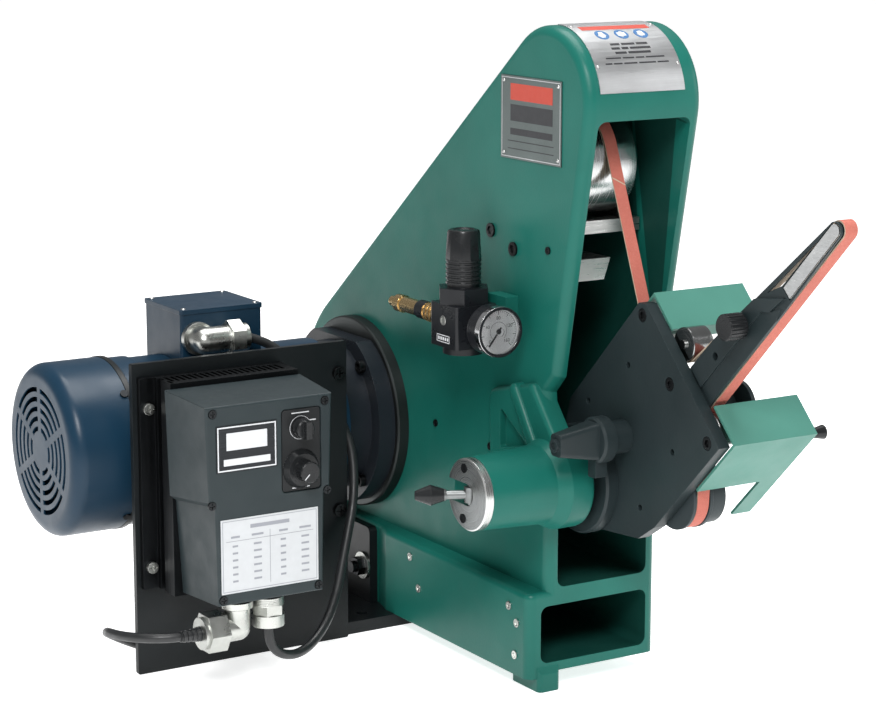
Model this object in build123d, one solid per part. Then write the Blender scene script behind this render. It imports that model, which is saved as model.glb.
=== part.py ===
from build123d import *
import math
import os

# Bench belt machine: a C-face motor drives a narrow abrasive belt through an open-fronted
# casting, over a spring-loaded top pulley and out round a contact arm on a swivelling head.
# Frame: origin on the bench, under the motor shaft, in the plane of the belt.
# +Z up, -Y towards the contact arm, -X towards the motor. Millimetres.

SHAFT_Z = 201.5          # height of the motor shaft above the bench
WALL = 12.0              # casting wall
UPPER_HALF = 62.0        # half width of the upper casting
BASE_SIDE = 75.0         # base of the casting, from the belt's plane to its bracket face
BASE_SHOE = 82.0         # the same where the base widens ahead of the bracket
BASE_FRONT = -346.0
BASE_REAR = 126.0
PLATE_T = 12.5           # base plate thickness
LEDGE_Z = 94.5           # top of the casting's base
REAR_R = 126.0           # casting radius about the motor shaft
TOP_R = 68.0             # casting radius over the top pulley
TOP_Y, TOP_Z = -336.0, 544.5

BELT_W = 12.7
BELT_T = 1.2
BELT_GAP = 0.3

DRIVE_R = 60.0
PULLEY_R = 49.0
PULLEY_Y, PULLEY_Z = -304.0, 486.5
PULLEY_W = 56.0

SWIVEL_Y, SWIVEL_Z = -351.0, 200.5
SWIVEL_SHAFT_R = 14.0
HUB_R = 51.0
HEAD_X0, HEAD_X1 = -23.0, -11.0      # near and far faces of the head plate
RUN = 0.05                           # radial running clearance

DISC_X = -74.0                       # motor side of the adapter disc
MOTOR_R = 80.0
COWL_R = 84.0
COWL_X0, COWL_X1 = -414.0, -340.0

PANEL_X0, PANEL_X1 = -366.0, -139.0  # support plate of the controller
PANEL_Y0, PANEL_Y1 = -109.0, -103.0
PANEL_TOP = 299.5
SINK_Y = -150.0                      # front of the heat sink
COVER_Y = -222.0                     # front of the controller cover

CORD_D = 9.0
CABLE_D = 9.0

HALF_SQRT = math.sqrt(0.5)


def head_point(along, out):
    """Point (y, z) from head axes: along runs down the head's front edge, out leaves it square."""
    forward = (along + out) * HALF_SQRT
    up = (out - along) * HALF_SQRT
    return (-forward, SHAFT_Z + up)


# Wheels that the belt runs over, in order: name, (y, z), radius, True where the belt passes outside.
GUIDE_R = 14.5
STEEL_R = 15.0
LOWER_ROLLER_R = 14.5
LOWER_R = 28.0
TIP_R = 6.8
WHEELS = [
    ("drive_wheel", (0.0, SHAFT_Z), DRIVE_R, True),
    ("top_pulley", (PULLEY_Y, PULLEY_Z), PULLEY_R, True),
    ("guide_roller", (-432.0, SHAFT_Z + 140.5), GUIDE_R, False),
    ("steel_roller", head_point(236.7, 438.0), STEEL_R, False),
    ("tip_wheel", head_point(287.2, 664.0), TIP_R, True),
    ("lower_roller", head_point(313.2, 417.0), LOWER_ROLLER_R, False),
    ("lower_idler", (-468.0, SHAFT_Z + 5.0), LOWER_R, True),
]
WHEEL_AT = {name: place for name, place, radius, inside in WHEELS}


# ---------------------------------------------------------------- small helpers

def box(x0, x1, y0, y1, z0, z1):
    return Pos((x0 + x1) / 2, (y0 + y1) / 2, (z0 + z1) / 2) * Box(x1 - x0, y1 - y0, z1 - z0)


def rod_x(radius, x0, x1, y, z):
    return Pos((x0 + x1) / 2, y, z) * Rot(0, 90, 0) * Cylinder(radius, x1 - x0)


def rod_y(radius, y0, y1, x, z):
    return Pos(x, (y0 + y1) / 2, z) * Rot(90, 0, 0) * Cylinder(radius, y1 - y0)


def rod_z(radius, z0, z1, x, y):
    return Pos(x, y, (z0 + z1) / 2) * Cylinder(radius, z1 - z0)


def cone_x(r0, r1, x0, x1, y, z):
    return Pos((x0 + x1) / 2, y, z) * Rot(0, 90, 0) * Cone(r0, r1, x1 - x0)


def plate_x(points, x0, x1):
    """Plate square to X, from an outline of (y, z) points."""
    face = Plane.YZ.offset(x0) * make_face(Polyline(*points, close=True))
    return extrude(face, x1 - x0)


def plate_y(points, y0, y1):
    """Plate square to Y, from an outline of (x, z) points."""
    face = Plane.XZ.offset(-y1) * make_face(Polyline(*points, close=True))
    return extrude(face, y1 - y0)


def head_plate_x(points, x0, x1):
    return plate_x([head_point(*p) for p in points], x0, x1)


def hex_x(flats, x0, x1, y, z, turn=0):
    face = Plane.YZ.offset(x0) * Pos(y, z) * Rot(0, 0, turn) * RegularPolygon(flats / 2, 6, major_radius=False)
    return extrude(face, x1 - x0)


def hex_z(flats, z0, z1, x, y):
    face = Plane.XY.offset(z0) * Pos(x, y) * RegularPolygon(flats / 2, 6, major_radius=False)
    return extrude(face, z1 - z0)


def cap_screw_x(radius, x, y, z, head, direction=-1):
    """Socket-head cap screw standing off the plane at x, its head towards direction."""
    far = x + direction * head
    body = rod_x(radius, min(x, far), max(x, far), y, z)
    depth = far - direction * head * 0.6
    socket = hex_x(radius * 1.1, min(depth, far + direction), max(depth, far + direction), y, z)
    return body - socket


def cap_screw_y(radius, y, x, z, head):
    body = rod_y(radius, y - head, y, x, z)
    slot_a = box(x - radius * 0.7, x + radius * 0.7, y - head - 1, y - head * 0.5, z - 0.6, z + 0.6)
    slot_b = box(x - 0.6, x + 0.6, y - head - 1, y - head * 0.5, z - radius * 0.7, z + radius * 0.7)
    return body - slot_a - slot_b


# ---------------------------------------------------------------- the casting

def side_hull(rear_r, top_r, x0, x1):
    """Tapering outline round the motor shaft and the top pulley, extruded along X."""
    rear = Pos(0, SHAFT_Z) * Circle(rear_r)
    top = Pos(TOP_Y, TOP_Z) * Circle(top_r)
    hull = make_hull(rear.edges() + top.edges())
    return extrude(Plane.YZ.offset(x0) * hull, x1 - x0)


def frame_casting():
    lean = math.radians(10.8)
    lip_y = TOP_Y - TOP_R * math.cos(lean)
    lip_z = TOP_Z - TOP_R * math.sin(lean)
    front = [(0, SHAFT_Z), (TOP_Y, TOP_Z), (lip_y, lip_z), (-357, 298), (-342, 282), (-346, 242),
             (-346, LEDGE_Z - 25), (REAR_R, LEDGE_Z - 25), (REAR_R, SHAFT_Z)]
    upper = side_hull(REAR_R, TOP_R, -UPPER_HALF, UPPER_HALF) + plate_x(front, -UPPER_HALF, UPPER_HALF)
    rims = upper.faces().filter_by(Axis.X).edges()
    rims = [e for e in rims if e.center().Z > LEDGE_Z + 8]
    upper = fillet(rims, 9)

    outline = [(-BASE_SHOE, BASE_FRONT), (UPPER_HALF, BASE_FRONT), (UPPER_HALF, BASE_REAR), (-BASE_SIDE, BASE_REAR),
               (-BASE_SIDE, -60), (-BASE_SHOE, -85)]
    base = extrude(Pos(0, 0, PLATE_T) * make_face(Polyline(*outline, close=True)), LEDGE_Z - PLATE_T)
    base = fillet(base.edges().filter_by(Axis.Z), 9)
    base = fillet(base.faces().sort_by(Axis.Z)[-1].edges(), 5)
    base = base - box(-48, UPPER_HALF + 1, BASE_FRONT - 1, -300, PLATE_T - 1, PLATE_T + 5)
    body = upper + base + front_foot() + nose_block()

    reach = 200.0
    ray = (TOP_Y - reach * math.cos(lean), TOP_Z - reach * math.sin(lean))
    floor_z = LEDGE_Z + 3
    hollow = [(0, SHAFT_Z), (TOP_Y, TOP_Z), ray, (ray[0], floor_z), (REAR_R - WALL, floor_z), (REAR_R - WALL, SHAFT_Z)]
    inner = UPPER_HALF - WALL
    cavity = side_hull(REAR_R - WALL, TOP_R - WALL, -inner, inner) + plate_x(hollow, -inner, inner)
    cavity = fillet(cavity.faces().filter_by(Axis.X).edges(), 8)
    body = body - cavity

    pocket = box(-68, 50.5, BASE_FRONT - 10, 110, 26.5, 81)
    pocket = fillet(pocket.edges().filter_by(Axis.Y), 8)
    body = body - pocket

    barrel = cone_x(33.5, 36.5, -144, -78, SWIVEL_Y, SWIVEL_Z) + cone_x(36.5, 43, -78, -66, SWIVEL_Y, SWIVEL_Z)
    collar = rod_x(43, -66, -41.7, SWIVEL_Y, SWIVEL_Z)
    collar = fillet(collar.edges().group_by(Axis.X)[-1], 4)
    body = body + barrel + collar
    body = body - rod_x(SWIVEL_SHAFT_R + RUN, -145, -40, SWIVEL_Y, SWIVEL_Z)
    body = body - rod_x(60, DISC_X - 1, -UPPER_HALF + WALL + 1, 0, SHAFT_Z)
    return body


def front_foot():
    """Foot under the near front corner, its top sloped back into the casting's face."""
    side = [(-302, 0), (-350, 0), (-350, 17), (-345, 25), (-302, 25)]
    foot = plate_x(side, -72, -48)
    return fillet(foot.edges().filter_by(Axis.Z), 5)


def nose_block():
    """Thickened nose that carries the swivel boss, with a ribbed triangular recess, on the left wall."""
    lobes = [(-268, 262, 12), (-326, 279, 9), (SWIVEL_Y, SWIVEL_Z, 41), (-268, 188, 10)]
    edges = ShapeList()
    for y, z, radius in lobes:
        edges += (Pos(y, z) * Circle(radius)).edges()
    block = extrude(Plane.YZ.offset(-70) * make_hull(edges), 20)
    block = fillet(block.edges().group_by(Axis.X)[0], 5)
    recess = plate_x([(-278, 258), (-324, 230), (-278, 219)], -72, -63.5)
    recess = fillet(recess.edges().filter_by(Axis.X), 2.5)
    ends = (Pos(-303, 279) * Circle(6)).edges() + (Pos(-338, 226) * Circle(7)).edges()
    rib = extrude(Plane.YZ.offset(-74) * make_hull(ends), 14)
    rib = fillet(rib.edges().group_by(Axis.X)[0], 4)
    return (block - recess) + rib


def casting_screws():
    """Counterbored cap screws, set screws and the screws of the steel end cap and name plates."""
    screws = []
    for y, z in [(-249, 419.5), (-287, 406.5)]:
        screws.append(cap_screw_x(6.5, -UPPER_HALF, y, z, 2.0))
    for y, z in [(-344, 412.5), (-150, 216.5), (-249, 213.5)]:
        screws.append(cap_screw_x(3.5, -UPPER_HALF, y, z, 1.5))
    for y, z in [(-134, 80), (-150, 51.5), (-313.5, 77), (-327, 63.5), (-324, 32)]:
        screws.append(cap_screw_x(4.0, -BASE_SHOE, y, z, 1.2))
    for angle in (100, 255):
        a = math.radians(angle)
        y = SWIVEL_Y - 24 * math.cos(a)
        z = SWIVEL_Z + 24 * math.sin(a)
        screws.append(cap_screw_x(4.3, -152, y, z, 1.0))
    return screws


def boss_end_cap():
    cap = rod_x(33, -152, -144, SWIVEL_Y, SWIVEL_Z)
    cap = chamfer(cap.edges().group_by(Axis.X)[0], 1.2)
    slot = box(-153, -143, SWIVEL_Y, SWIVEL_Y + 40, SWIVEL_Z - 10, SWIVEL_Z + 10)
    cap = cap - slot - rod_x(10, -153, -143, SWIVEL_Y, SWIVEL_Z)
    return cap - rod_z(2.5 + RUN, SWIVEL_Z - 20, SWIVEL_Z + 20, -148, SWIVEL_Y)


# ---------------------------------------------------------------- base and support plates

def base_plate():
    plate = box(-137, 137, -103, 106, 0, PLATE_T)
    tongue = box(-166, -136, -103, -60, 0, PLATE_T)
    plate = plate + tongue
    for x in (-108, 108):
        for y in (-82, 82):
            plate = plate - rod_z(5.5, -1, PLATE_T + 1, x, y)
    return plate


def side_bracket():
    """Upright flange bolted to the casting's base, and the angle that holds the support plate."""
    flange = box(-84, -75.0, -56, 100, PLATE_T, 91.5)
    flange = fillet(flange.edges().filter_by(Axis.X).group_by(Axis.Z)[-1], 6)
    back = box(-163, -139, -103, -97, PLATE_T, 280)
    web = box(-145, -139, -97, -86, PLATE_T, 150)
    return [flange, back + web]


def support_plate():
    plate = box(PANEL_X0, PANEL_X1, PANEL_Y0, PANEL_Y1, 0, PANEL_TOP)
    plate = fillet(plate.edges().filter_by(Axis.Y), 2)
    return plate


def machine_bolts():
    """Hex bolt with its washer on the side flange, support plate screws and motor screws."""
    washer = rod_x(14, -86.5, -84, -43, 49.5)
    bolt = rod_x(5.8, -99, -86.5, -43, 49.5) + hex_x(17, -94, -86.5, -43, 49.5)
    parts = [washer, bolt] + motor_screws()
    for z in (268.5, 131.5):
        parts.append(cap_screw_y(6.5, PANEL_Y0, -148.5, z, 4.5))
    for z in (257.5, 105.5):
        parts.append(cap_screw_y(5.5, -115, -353, z, 4.0))
    return parts


# ---------------------------------------------------------------- motor

def adapter_disc():
    disc = rod_x(98, DISC_X, -UPPER_HALF, 0, SHAFT_Z)
    disc = chamfer(disc.edges().group_by(Axis.X)[0], 1.5)
    return disc - rod_x(30, DISC_X - 1, -UPPER_HALF + 1, 0, SHAFT_Z)


def motor_front_bell():
    flange = rod_x(92, -92, DISC_X, 0, SHAFT_Z)
    flange = flange & box(-93, DISC_X + 1, -93, 93, SHAFT_Z - 85, SHAFT_Z + 81)
    neck = rod_x(76, -118, -92, 0, SHAFT_Z)
    bell = flange + neck
    bell = bell - rod_x(68, -119, -100, 0, SHAFT_Z)
    return bell - rod_x(8 + RUN, -120, DISC_X + 1, 0, SHAFT_Z)


def motor_shell():
    body = rod_x(MOTOR_R, COWL_X1 + 20, -118, 0, SHAFT_Z)
    body = body - rod_x(73, COWL_X1 + 30, -117, 0, SHAFT_Z)
    rear = rod_x(82, COWL_X1 - 2, COWL_X1 + 20, 0, SHAFT_Z)
    shell = body + rear
    return shell - rod_x(8 + RUN, COWL_X1 - 10, COWL_X1 + 40, 0, SHAFT_Z)


def motor_stator():
    ring = rod_x(72.5, -285, -150, 0, SHAFT_Z)
    coils = rod_x(64, -302, -133, 0, SHAFT_Z)
    return (ring + coils) - rod_x(40, -303, -132, 0, SHAFT_Z)


def rotor_shaft():
    shaft = rod_x(8, -392, 30, 0, SHAFT_Z)
    core = rod_x(38.5, -288, -147, 0, SHAFT_Z)
    return shaft + core


def fan_cowl():
    cowl = rod_x(COWL_R, COWL_X0, COWL_X1 - 2, 0, SHAFT_Z)
    cowl = fillet(cowl.edges().group_by(Axis.X)[0], 14)
    inner = rod_x(COWL_R - 2, COWL_X0 + 2, COWL_X1, 0, SHAFT_Z)
    inner = fillet(inner.edges().group_by(Axis.X)[0], 12.5)
    cowl = cowl - inner
    ring_pitch = 9.5
    slot_w = 4.5
    for ring in range(1, 6):
        radius = 12 + ring_pitch * ring
        band = rod_x(radius + slot_w / 2, COWL_X0 - 1, COWL_X0 + 4, 0, SHAFT_Z)
        band = band - rod_x(radius - slot_w / 2, COWL_X0 - 2, COWL_X0 + 5, 0, SHAFT_Z)
        for turn in (0, 60, 120):
            rib = Pos(COWL_X0, 0, SHAFT_Z) * Rot(turn + 30, 0, 0) * Box(20, 170, 7)
            band = band - rib
        cowl = cowl - band
    return cowl


def cooling_fan():
    fan = rod_x(16, -388, -360, 0, SHAFT_Z) + rod_x(66, -362, -359, 0, SHAFT_Z)
    for turn in range(0, 360, 60):
        blade = Pos(-375, 0, SHAFT_Z) * Rot(turn, 0, 0) * Pos(0, 40, 0) * Box(26, 50, 2.5)
        fan = fan + blade
    return fan - rod_x(8, -395, -350, 0, SHAFT_Z)


def motor_screws():
    """Cap screws of the motor's front flange and of the fan cowl."""
    parts = []
    for angle in (45, 135, 225, 315):
        a = math.radians(angle)
        parts.append(cap_screw_x(6, -92, 83 * math.cos(a), SHAFT_Z + 83 * math.sin(a), 6))
    for angle in (45, 135, 225, 315):
        a = math.radians(angle)
        head = Pos(-352, 0, SHAFT_Z) * Rot(angle, 0, 0) * Pos(0, COWL_R + 0.9, 0) * Rot(90, 0, 0) * Cylinder(4, 1.8)
        parts.append(head)
    return parts


def terminal_box():
    outer = box(-282, -195, -40, 42, 270, 327)
    outer = fillet(outer.edges().filter_by(Axis.Z), 3)
    seat = rod_x(MOTOR_R, -290, -190, 0, SHAFT_Z)
    return outer - seat - box(-279, -198, -37, 39, 284, 328)


def terminal_box_lid():
    lid = box(-283, -194, -41, 43, 327, 331.5)
    lid = fillet(lid.edges().filter_by(Axis.Z), 3)
    return lid


def conduit_elbow():
    """Right-angle conduit fitting on the terminal box, with its hex compression nut."""
    x, z = -266, 303.5
    body = rod_y(13, -58, -40, x, z) + Pos(x, -58, z) * Sphere(13) + rod_x(13, x, x + 22, -58, z)
    collar = rod_y(16, -46, -40, x, z)
    nut = hex_x(31, x + 24, x + 38, -58, z, 30)
    face = rod_x(13.5, x + 22, x + 44, -58, z)
    bore = rod_x(CABLE_D / 2, x + 30, x + 46, -58, z)
    return body + collar + nut + face - bore


# ---------------------------------------------------------------- controller

def heat_sink():
    back = box(-361, -211, -115, PANEL_Y0, 84.5, 286.5)
    body = box(-346, -214, SINK_Y, -115, 84.5, 286.5)
    sink = back + body
    pitch = 6.0
    count = 20
    for i in range(count):
        x = -338 + pitch * i
        sink = sink - box(x - 1.6, x + 1.6, -140, -119, 84, 287)
    groove = box(-344, -341, SINK_Y + 2, -137, 84, 287)
    return sink - groove - box(-347, -342, -130, -121, 84, 287)


def cover_outline(half_top, half_low, top, bottom, shoulder):
    cx = -282.0
    return [(cx - half_top, top), (cx + half_top, top), (cx + half_top - 3, shoulder + 5),
            (cx + half_top - 9, shoulder), (cx + half_low, bottom), (cx - half_low, bottom),
            (cx - half_top + 9, shoulder), (cx - half_top + 3, shoulder + 5)]


def lofted_cover(inset, y_back, y_front):
    back = cover_outline(70 - inset, 55.5 - inset, 281.5 - inset, 87.5 + inset, 177)
    front = cover_outline(64.5 - inset, 53.5 - inset, 277.5 - inset, 91.5 + inset, 184.5)
    low = Plane.XZ.offset(-y_back) * make_face(Polyline(*back, close=True))
    high = Plane.XZ.offset(-y_front) * make_face(Polyline(*front, close=True))
    return loft([low, high], ruled=True)


def controller_cover():
    outer = lofted_cover(0, SINK_Y, COVER_Y)
    outer = fillet(outer.faces().sort_by(Axis.Y)[0].edges(), 2.0)
    inner = lofted_cover(3, SINK_Y + 0.5, COVER_Y + 3)
    cover = outer - inner
    recess = box(-270, -229, COVER_Y - 1, COVER_Y + 2.0, 189, 267)
    recess = fillet(recess.edges().filter_by(Axis.Y), 4)
    cover = cover - recess
    for x, z in COVER_SCREWS:
        cover = cover - rod_y(4.2, COVER_Y - 1, COVER_Y + 1.5, x, z)
    return cover - rod_y(4 + RUN, COVER_Y - 1, COVER_Y + 5, -250, 248.5) - rod_y(4 + RUN, COVER_Y - 1, COVER_Y + 5, -250, 210)


COVER_SCREWS = [(-339, 271), (-225, 271), (-341, 186.5), (-223, 186.5), (-331, 97), (-233, 97)]


def cover_screws():
    return [cap_screw_y(3.8, COVER_Y + 1.5, x, z, 2.2) for x, z in COVER_SCREWS]


def control_panel():
    """Insert in the cover's recess, with raised marks round the speed dial."""
    panel = box(-269, -230, COVER_Y + 0.8, COVER_Y + 2.0, 190, 266)
    panel = fillet(panel.edges().filter_by(Axis.Y), 3)
    for x, z in ((-250, 248.5), (-250, 210)):
        panel = panel - rod_y(4 + RUN, COVER_Y, COVER_Y + 3, x, z)
    return panel


def power_knob():
    knob = rod_y(9, COVER_Y - 11, COVER_Y + 0.5, -250, 248.5)
    knob = chamfer(knob.edges().group_by(Axis.Y)[0], 1)
    grip = box(-253, -247, COVER_Y - 17, COVER_Y - 10, 240.5, 256.5)
    stem = rod_y(4, COVER_Y, -206, -250, 248.5)
    return knob + grip + stem


def speed_knob():
    skirt = Pos(-250, COVER_Y - 2.6, 210) * Rot(90, 0, 0) * Cone(18.5, 15, 6)
    grip = rod_y(10, COVER_Y - 19, COVER_Y - 5, -250, 210)
    grip = chamfer(grip.edges().group_by(Axis.Y)[0], 1)
    stem = rod_y(4, COVER_Y, -206, -250, 210)
    knob = skirt + grip + stem
    flutes = 16
    for i in range(flutes):
        a = 2 * math.pi * i / flutes
        knob = knob - rod_y(1.1, COVER_Y - 20, COVER_Y - 7, -250 + 10.6 * math.cos(a), 210 + 10.6 * math.sin(a))
    return knob


def circuit_board():
    board = box(-330, -234, -176, -174.4, 106, 262)
    parts = board
    for x, z, w, h in [(-312, 240, 24, 30), (-262, 160, 40, 26), (-305, 140, 26, 36)]:
        parts = parts + box(x - w / 2, x + w / 2, -192, -175, z - h / 2, z + h / 2)
    for x in (-326, -238):
        for z in (110, 258):
            parts = parts + rod_y(3, -175, SINK_Y, x, z)
    for z in (248.5, 210):
        parts = parts + rod_y(11, -213, -175, -250, z) - rod_y(4 + RUN, -214, -205, -250, z)
    return parts


def label_plates():
    """Blank name plates on the casting, and the blank badge and speed chart of the cover."""
    side = box(-UPPER_HALF - 1.0, -UPPER_HALF, -364, -266, 489.5, 565)
    top = side_hull(10, TOP_R + 0.9, -49, 42) - side_hull(9, TOP_R, -50, 43)
    keep = box(-50, 43, -430, TOP_Y, TOP_Z + 12, TOP_Z + 90)
    top = top & keep
    badge = box(-336, -275, COVER_Y - 0.8, COVER_Y, 216, 259)
    chart = box(-333, -233.5, COVER_Y - 0.6, COVER_Y, 102.5, 172)
    return [side, top, badge, chart]


# ---------------------------------------------------------------- glands, cable, mains cord

GLAND_Y = -200.0


def output_gland():
    x = -275
    gland = rod_z(15, 80, 88, x, GLAND_Y) + hex_z(27, 70, 80, x, GLAND_Y) + rod_z(15.5, 60, 71, x, GLAND_Y)
    return gland - rod_z(CABLE_D / 2, 59, 75, x, GLAND_Y)


def power_elbow():
    """Right-angle fitting under the cover, with the hex nut that grips the mains cord."""
    x, z = -307, 62
    drop = rod_z(12, z, 88, x, GLAND_Y)
    bend = Pos(x, GLAND_Y, z) * Sphere(12)
    arm = rod_x(12, x - 18, x, GLAND_Y, z)
    flange = rod_z(15, 82, 88, x, GLAND_Y)
    nut = hex_x(34, x - 34, x - 15, GLAND_Y, z)
    lip = rod_x(15, x - 38, x - 15, GLAND_Y, z)
    bore = rod_x(CORD_D / 2, x - 40, x - 12, GLAND_Y, z)
    return drop + bend + arm + flange + nut + lip - bore


def route_tube(points, diameter, name):
    """Round tube along straight runs joined by tangent arcs as large as the runs allow."""
    pts = [Vector(*p) for p in points]
    radii = []
    for a, b, c in zip(pts, pts[1:], pts[2:]):
        turn = math.radians((b - a).get_angle(c - b))
        radii.append(0.45 * min((b - a).length, (c - b).length) / math.tan(turn / 2))
    path = FilletPolyline(*pts, radius=radii)
    start = Plane(origin=pts[0], z_dir=pts[1] - pts[0])
    tube = sweep(start * Circle(diameter / 2), path=path)
    ideal = math.pi * diameter ** 2 / 4 * path.length
    print(name, "length", round(path.length), "radii", [round(r) for r in radii])
    print(name, "volume ratio", round(tube.volume / ideal, 4))
    return tube


MOTOR_CABLE = [(-275, -200, 60), (-275, -200, 44), (-263, -197, 28), (-240, -190, 21), (-216, -179, 26),
               (-194, -167, 41), (-176, -153, 62), (-162, -139, 86), (-149, -127, 111), (-137, -117, 137),
               (-130, -107, 164), (-128, -98, 190), (-134, -91, 214), (-146, -84, 236), (-162, -77, 257),
               (-178, -70, 276), (-193, -63.5, 290.5), (-207.5, -60, 298.8), (-222, -58, 303.5)]


def motor_cable():
    return route_tube(MOTOR_CABLE, CABLE_D, "motor_cable")


CORD_ROUTE = [(-345, -200, 62), (-365.5, -200, 62), (-385, -192, 62), (-400, -176.5, 61), (-407.5, -156, 59),
              (-407.5, -134, 56), (-399.5, -113.5, 49), (-383.5, -98, 38), (-363.5, -88.5, 26), (-340.5, -82.5, 15),
              (-313, -79.3, 7.5), (-286, -78.5, 4.6)]

COIL_X, COIL_Y = -254.0, -20.0
COIL_R = 58.5                        # the coil's outermost turn, to the middle of the cord
COIL_TURNS = 2.5                     # turns in each of its two layers


def power_cord():
    return route_tube(CORD_ROUTE, CORD_D, "power_cord")


def cord_coil():
    inner = COIL_R - CORD_D * COIL_TURNS - CORD_D / 2
    ring = rod_z(COIL_R + CORD_D / 2, 0, 2 * CORD_D, COIL_X, COIL_Y)
    return ring - rod_z(inner, -1, 2 * CORD_D + 1, COIL_X, COIL_Y)


def cord_tie():
    """Strap round the coil's bundle, on the side away from the plug."""
    half = CORD_D * (COIL_TURNS + 1) / 2 + 0.5
    x = COIL_X - COIL_R + CORD_D * COIL_TURNS / 2
    outer = box(x - half - 1.4, x + half + 1.4, COIL_Y - 5, COIL_Y + 5, 0, 2 * CORD_D + 1.5)
    return outer - box(x - half, x + half, COIL_Y - 6, COIL_Y + 6, -1, 2 * CORD_D)


def plug():
    """Moulded three-blade plug lying at the end of the coil."""
    x, z = COIL_X + COIL_R, 13.5
    y = COIL_Y + 56
    body = box(x - 13, x + 13, y, y + 38, 1, 26)
    body = fillet(body.edges().filter_by(Axis.Y), 6)
    tail = Pos(x, y - 15, z) * Rot(90, 0, 0) * Cone(9, 5.5, 30)
    blades = box(x - 7, x - 5.5, y + 38, y + 56, z - 3, z + 3) + box(x + 5.5, x + 7, y + 38, y + 56, z - 3, z + 3)
    pin = rod_y(2.4, y + 38, y + 59, x, z - 8)
    return body + tail + blades + pin


# ---------------------------------------------------------------- air regulator and gauge

REG_X, REG_Y = -98.0, -258.0
GAUGE_Y = -322.0


def regulator_body():
    body = box(REG_X - 22, REG_X + 22, REG_Y - 23, REG_Y + 23, 316, 356)
    body = fillet(body.edges().filter_by(Axis.Z), 3)
    bowl = rod_z(19, 309, 316, REG_X, REG_Y)
    stem = rod_y(7, REG_Y - 40, REG_Y - 23, REG_X, 338)
    body = body + bowl + stem
    return body - rod_z(5 + RUN, 340, 357, REG_X, REG_Y)


def regulator_bracket():
    """Green block between the regulator and the casting."""
    return box(REG_X + 22, -UPPER_HALF, -296, -264, 336, 364)


def bonnet_nut():
    nut = hex_z(44, 356, 371, REG_X, REG_Y)
    sleeve = rod_z(15, 371, 394, REG_X, REG_Y)
    return nut + sleeve - rod_z(5 + RUN, 355, 395, REG_X, REG_Y)


def regulator_knob():
    knob = rod_z(17, 374, 424.5, REG_X, REG_Y)
    knob = fillet(knob.edges().group_by(Axis.Z)[-1], 2.5)
    ribs = 24
    for i in range(ribs):
        a = 2 * math.pi * i / ribs
        knob = knob - rod_z(1.2, 373, 421, REG_X + 17.6 * math.cos(a), REG_Y + 17.6 * math.sin(a))
    knob = knob - rod_z(15.3, 373, 396, REG_X, REG_Y)
    return knob + rod_z(5, 345, 397, REG_X, REG_Y)


def gauge_case():
    case = rod_y(23, GAUGE_Y, GAUGE_Y + 24, REG_X, 338)
    case = fillet(case.edges().group_by(Axis.Y)[-1], 4)
    hollow = rod_y(20.5, GAUGE_Y - 1, GAUGE_Y + 6, REG_X, 338)
    dial = rod_y(20.4, GAUGE_Y + 5, GAUGE_Y + 6, REG_X, 338)
    return case - hollow + dial - rod_y(1 + RUN, GAUGE_Y + 4.9, GAUGE_Y + 11, REG_X, 338)


def gauge_needle():
    hub = rod_y(2.4, GAUGE_Y + 3.2, GAUGE_Y + 4.6, REG_X, 338) + rod_y(1, GAUGE_Y + 4, GAUGE_Y + 10, REG_X, 338)
    tilt = 218
    arm = Pos(REG_X, GAUGE_Y + 4, 338) * Rot(0, tilt, 0) * Pos(0, 0, 6) * Box(1.4, 0.8, 21)
    return hub + arm


def air_inlet_fitting():
    """Brass air fitting: hex, ribbed barrel, dark ring and the tail that takes the hose."""
    y = REG_Y + 23
    hexagon = extrude(Plane.XZ.offset(-y - 16) * Pos(REG_X, 338) * RegularPolygon(11, 6, major_radius=False), 13)
    barrel = rod_y(8, y, y + 38, REG_X, 338)
    for i in range(3):
        barrel = barrel + rod_y(9.5, y + 19 + 6 * i, y + 22 + 6 * i, REG_X, 338)
    ring = rod_y(9, y + 38, y + 52, REG_X, 338)
    tail = rod_y(7.5, y + 52, y + 84, REG_X, 338) + rod_y(8.5, y + 84, y + 94, REG_X, 338)
    return hexagon + barrel + ring + tail + rod_y(5, y + 94, y + 106, REG_X, 338)


# ---------------------------------------------------------------- belt, pulleys, tensioner

def belt_loop(offset_in, offset_out):
    """Closed outline through every wheel: lines tangent to the wheels, arcs round them."""
    circles = []
    for name, (y, z), radius, inside in WHEELS:
        # seen from +X with y mirrored, the belt runs clockwise: inside wheels lie on its right
        r = radius + (offset_in if inside else offset_out)
        circles.append((-y, z, r, 1 if inside else -1))
    tangents = []
    n = len(circles)
    for i in range(n):
        x0, y0, r0, s0 = circles[i]
        x1, y1, r1, s1 = circles[(i + 1) % n]
        dx, dy = x1 - x0, y1 - y0
        gap = math.hypot(dx, dy)
        heading = math.atan2(dy, dx) - math.asin((s0 * r0 - s1 * r1) / gap)
        # the belt leaves each wheel on the left of its centre where the wheel is inside
        nx, ny = -math.sin(heading), math.cos(heading)
        tangents.append(((x0 + s0 * r0 * nx, y0 + s0 * r0 * ny), (x1 + s1 * r1 * nx, y1 + s1 * r1 * ny), heading))
    edges = []
    for i in range(n):
        x1, y1, r1, s1 = circles[(i + 1) % n]
        start, end, heading = tangents[i]
        following = tangents[(i + 1) % n]
        edges.append(Line((-start[0], start[1]), (-end[0], end[1])))
        turn = following[2] - heading
        while turn > math.pi:
            turn -= 2 * math.pi
        while turn < -math.pi:
            turn += 2 * math.pi
        if s1 > 0 and turn > 0:
            turn -= 2 * math.pi
        if s1 < 0 and turn < 0:
            turn += 2 * math.pi
        middle = heading + turn / 2
        mid = (x1 - s1 * r1 * math.sin(middle), y1 + s1 * r1 * math.cos(middle))
        leave = following[0]
        edges.append(ThreePointArc((-end[0], end[1]), (-mid[0], mid[1]), (-leave[0], leave[1])))
    return Wire(edges)


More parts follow.
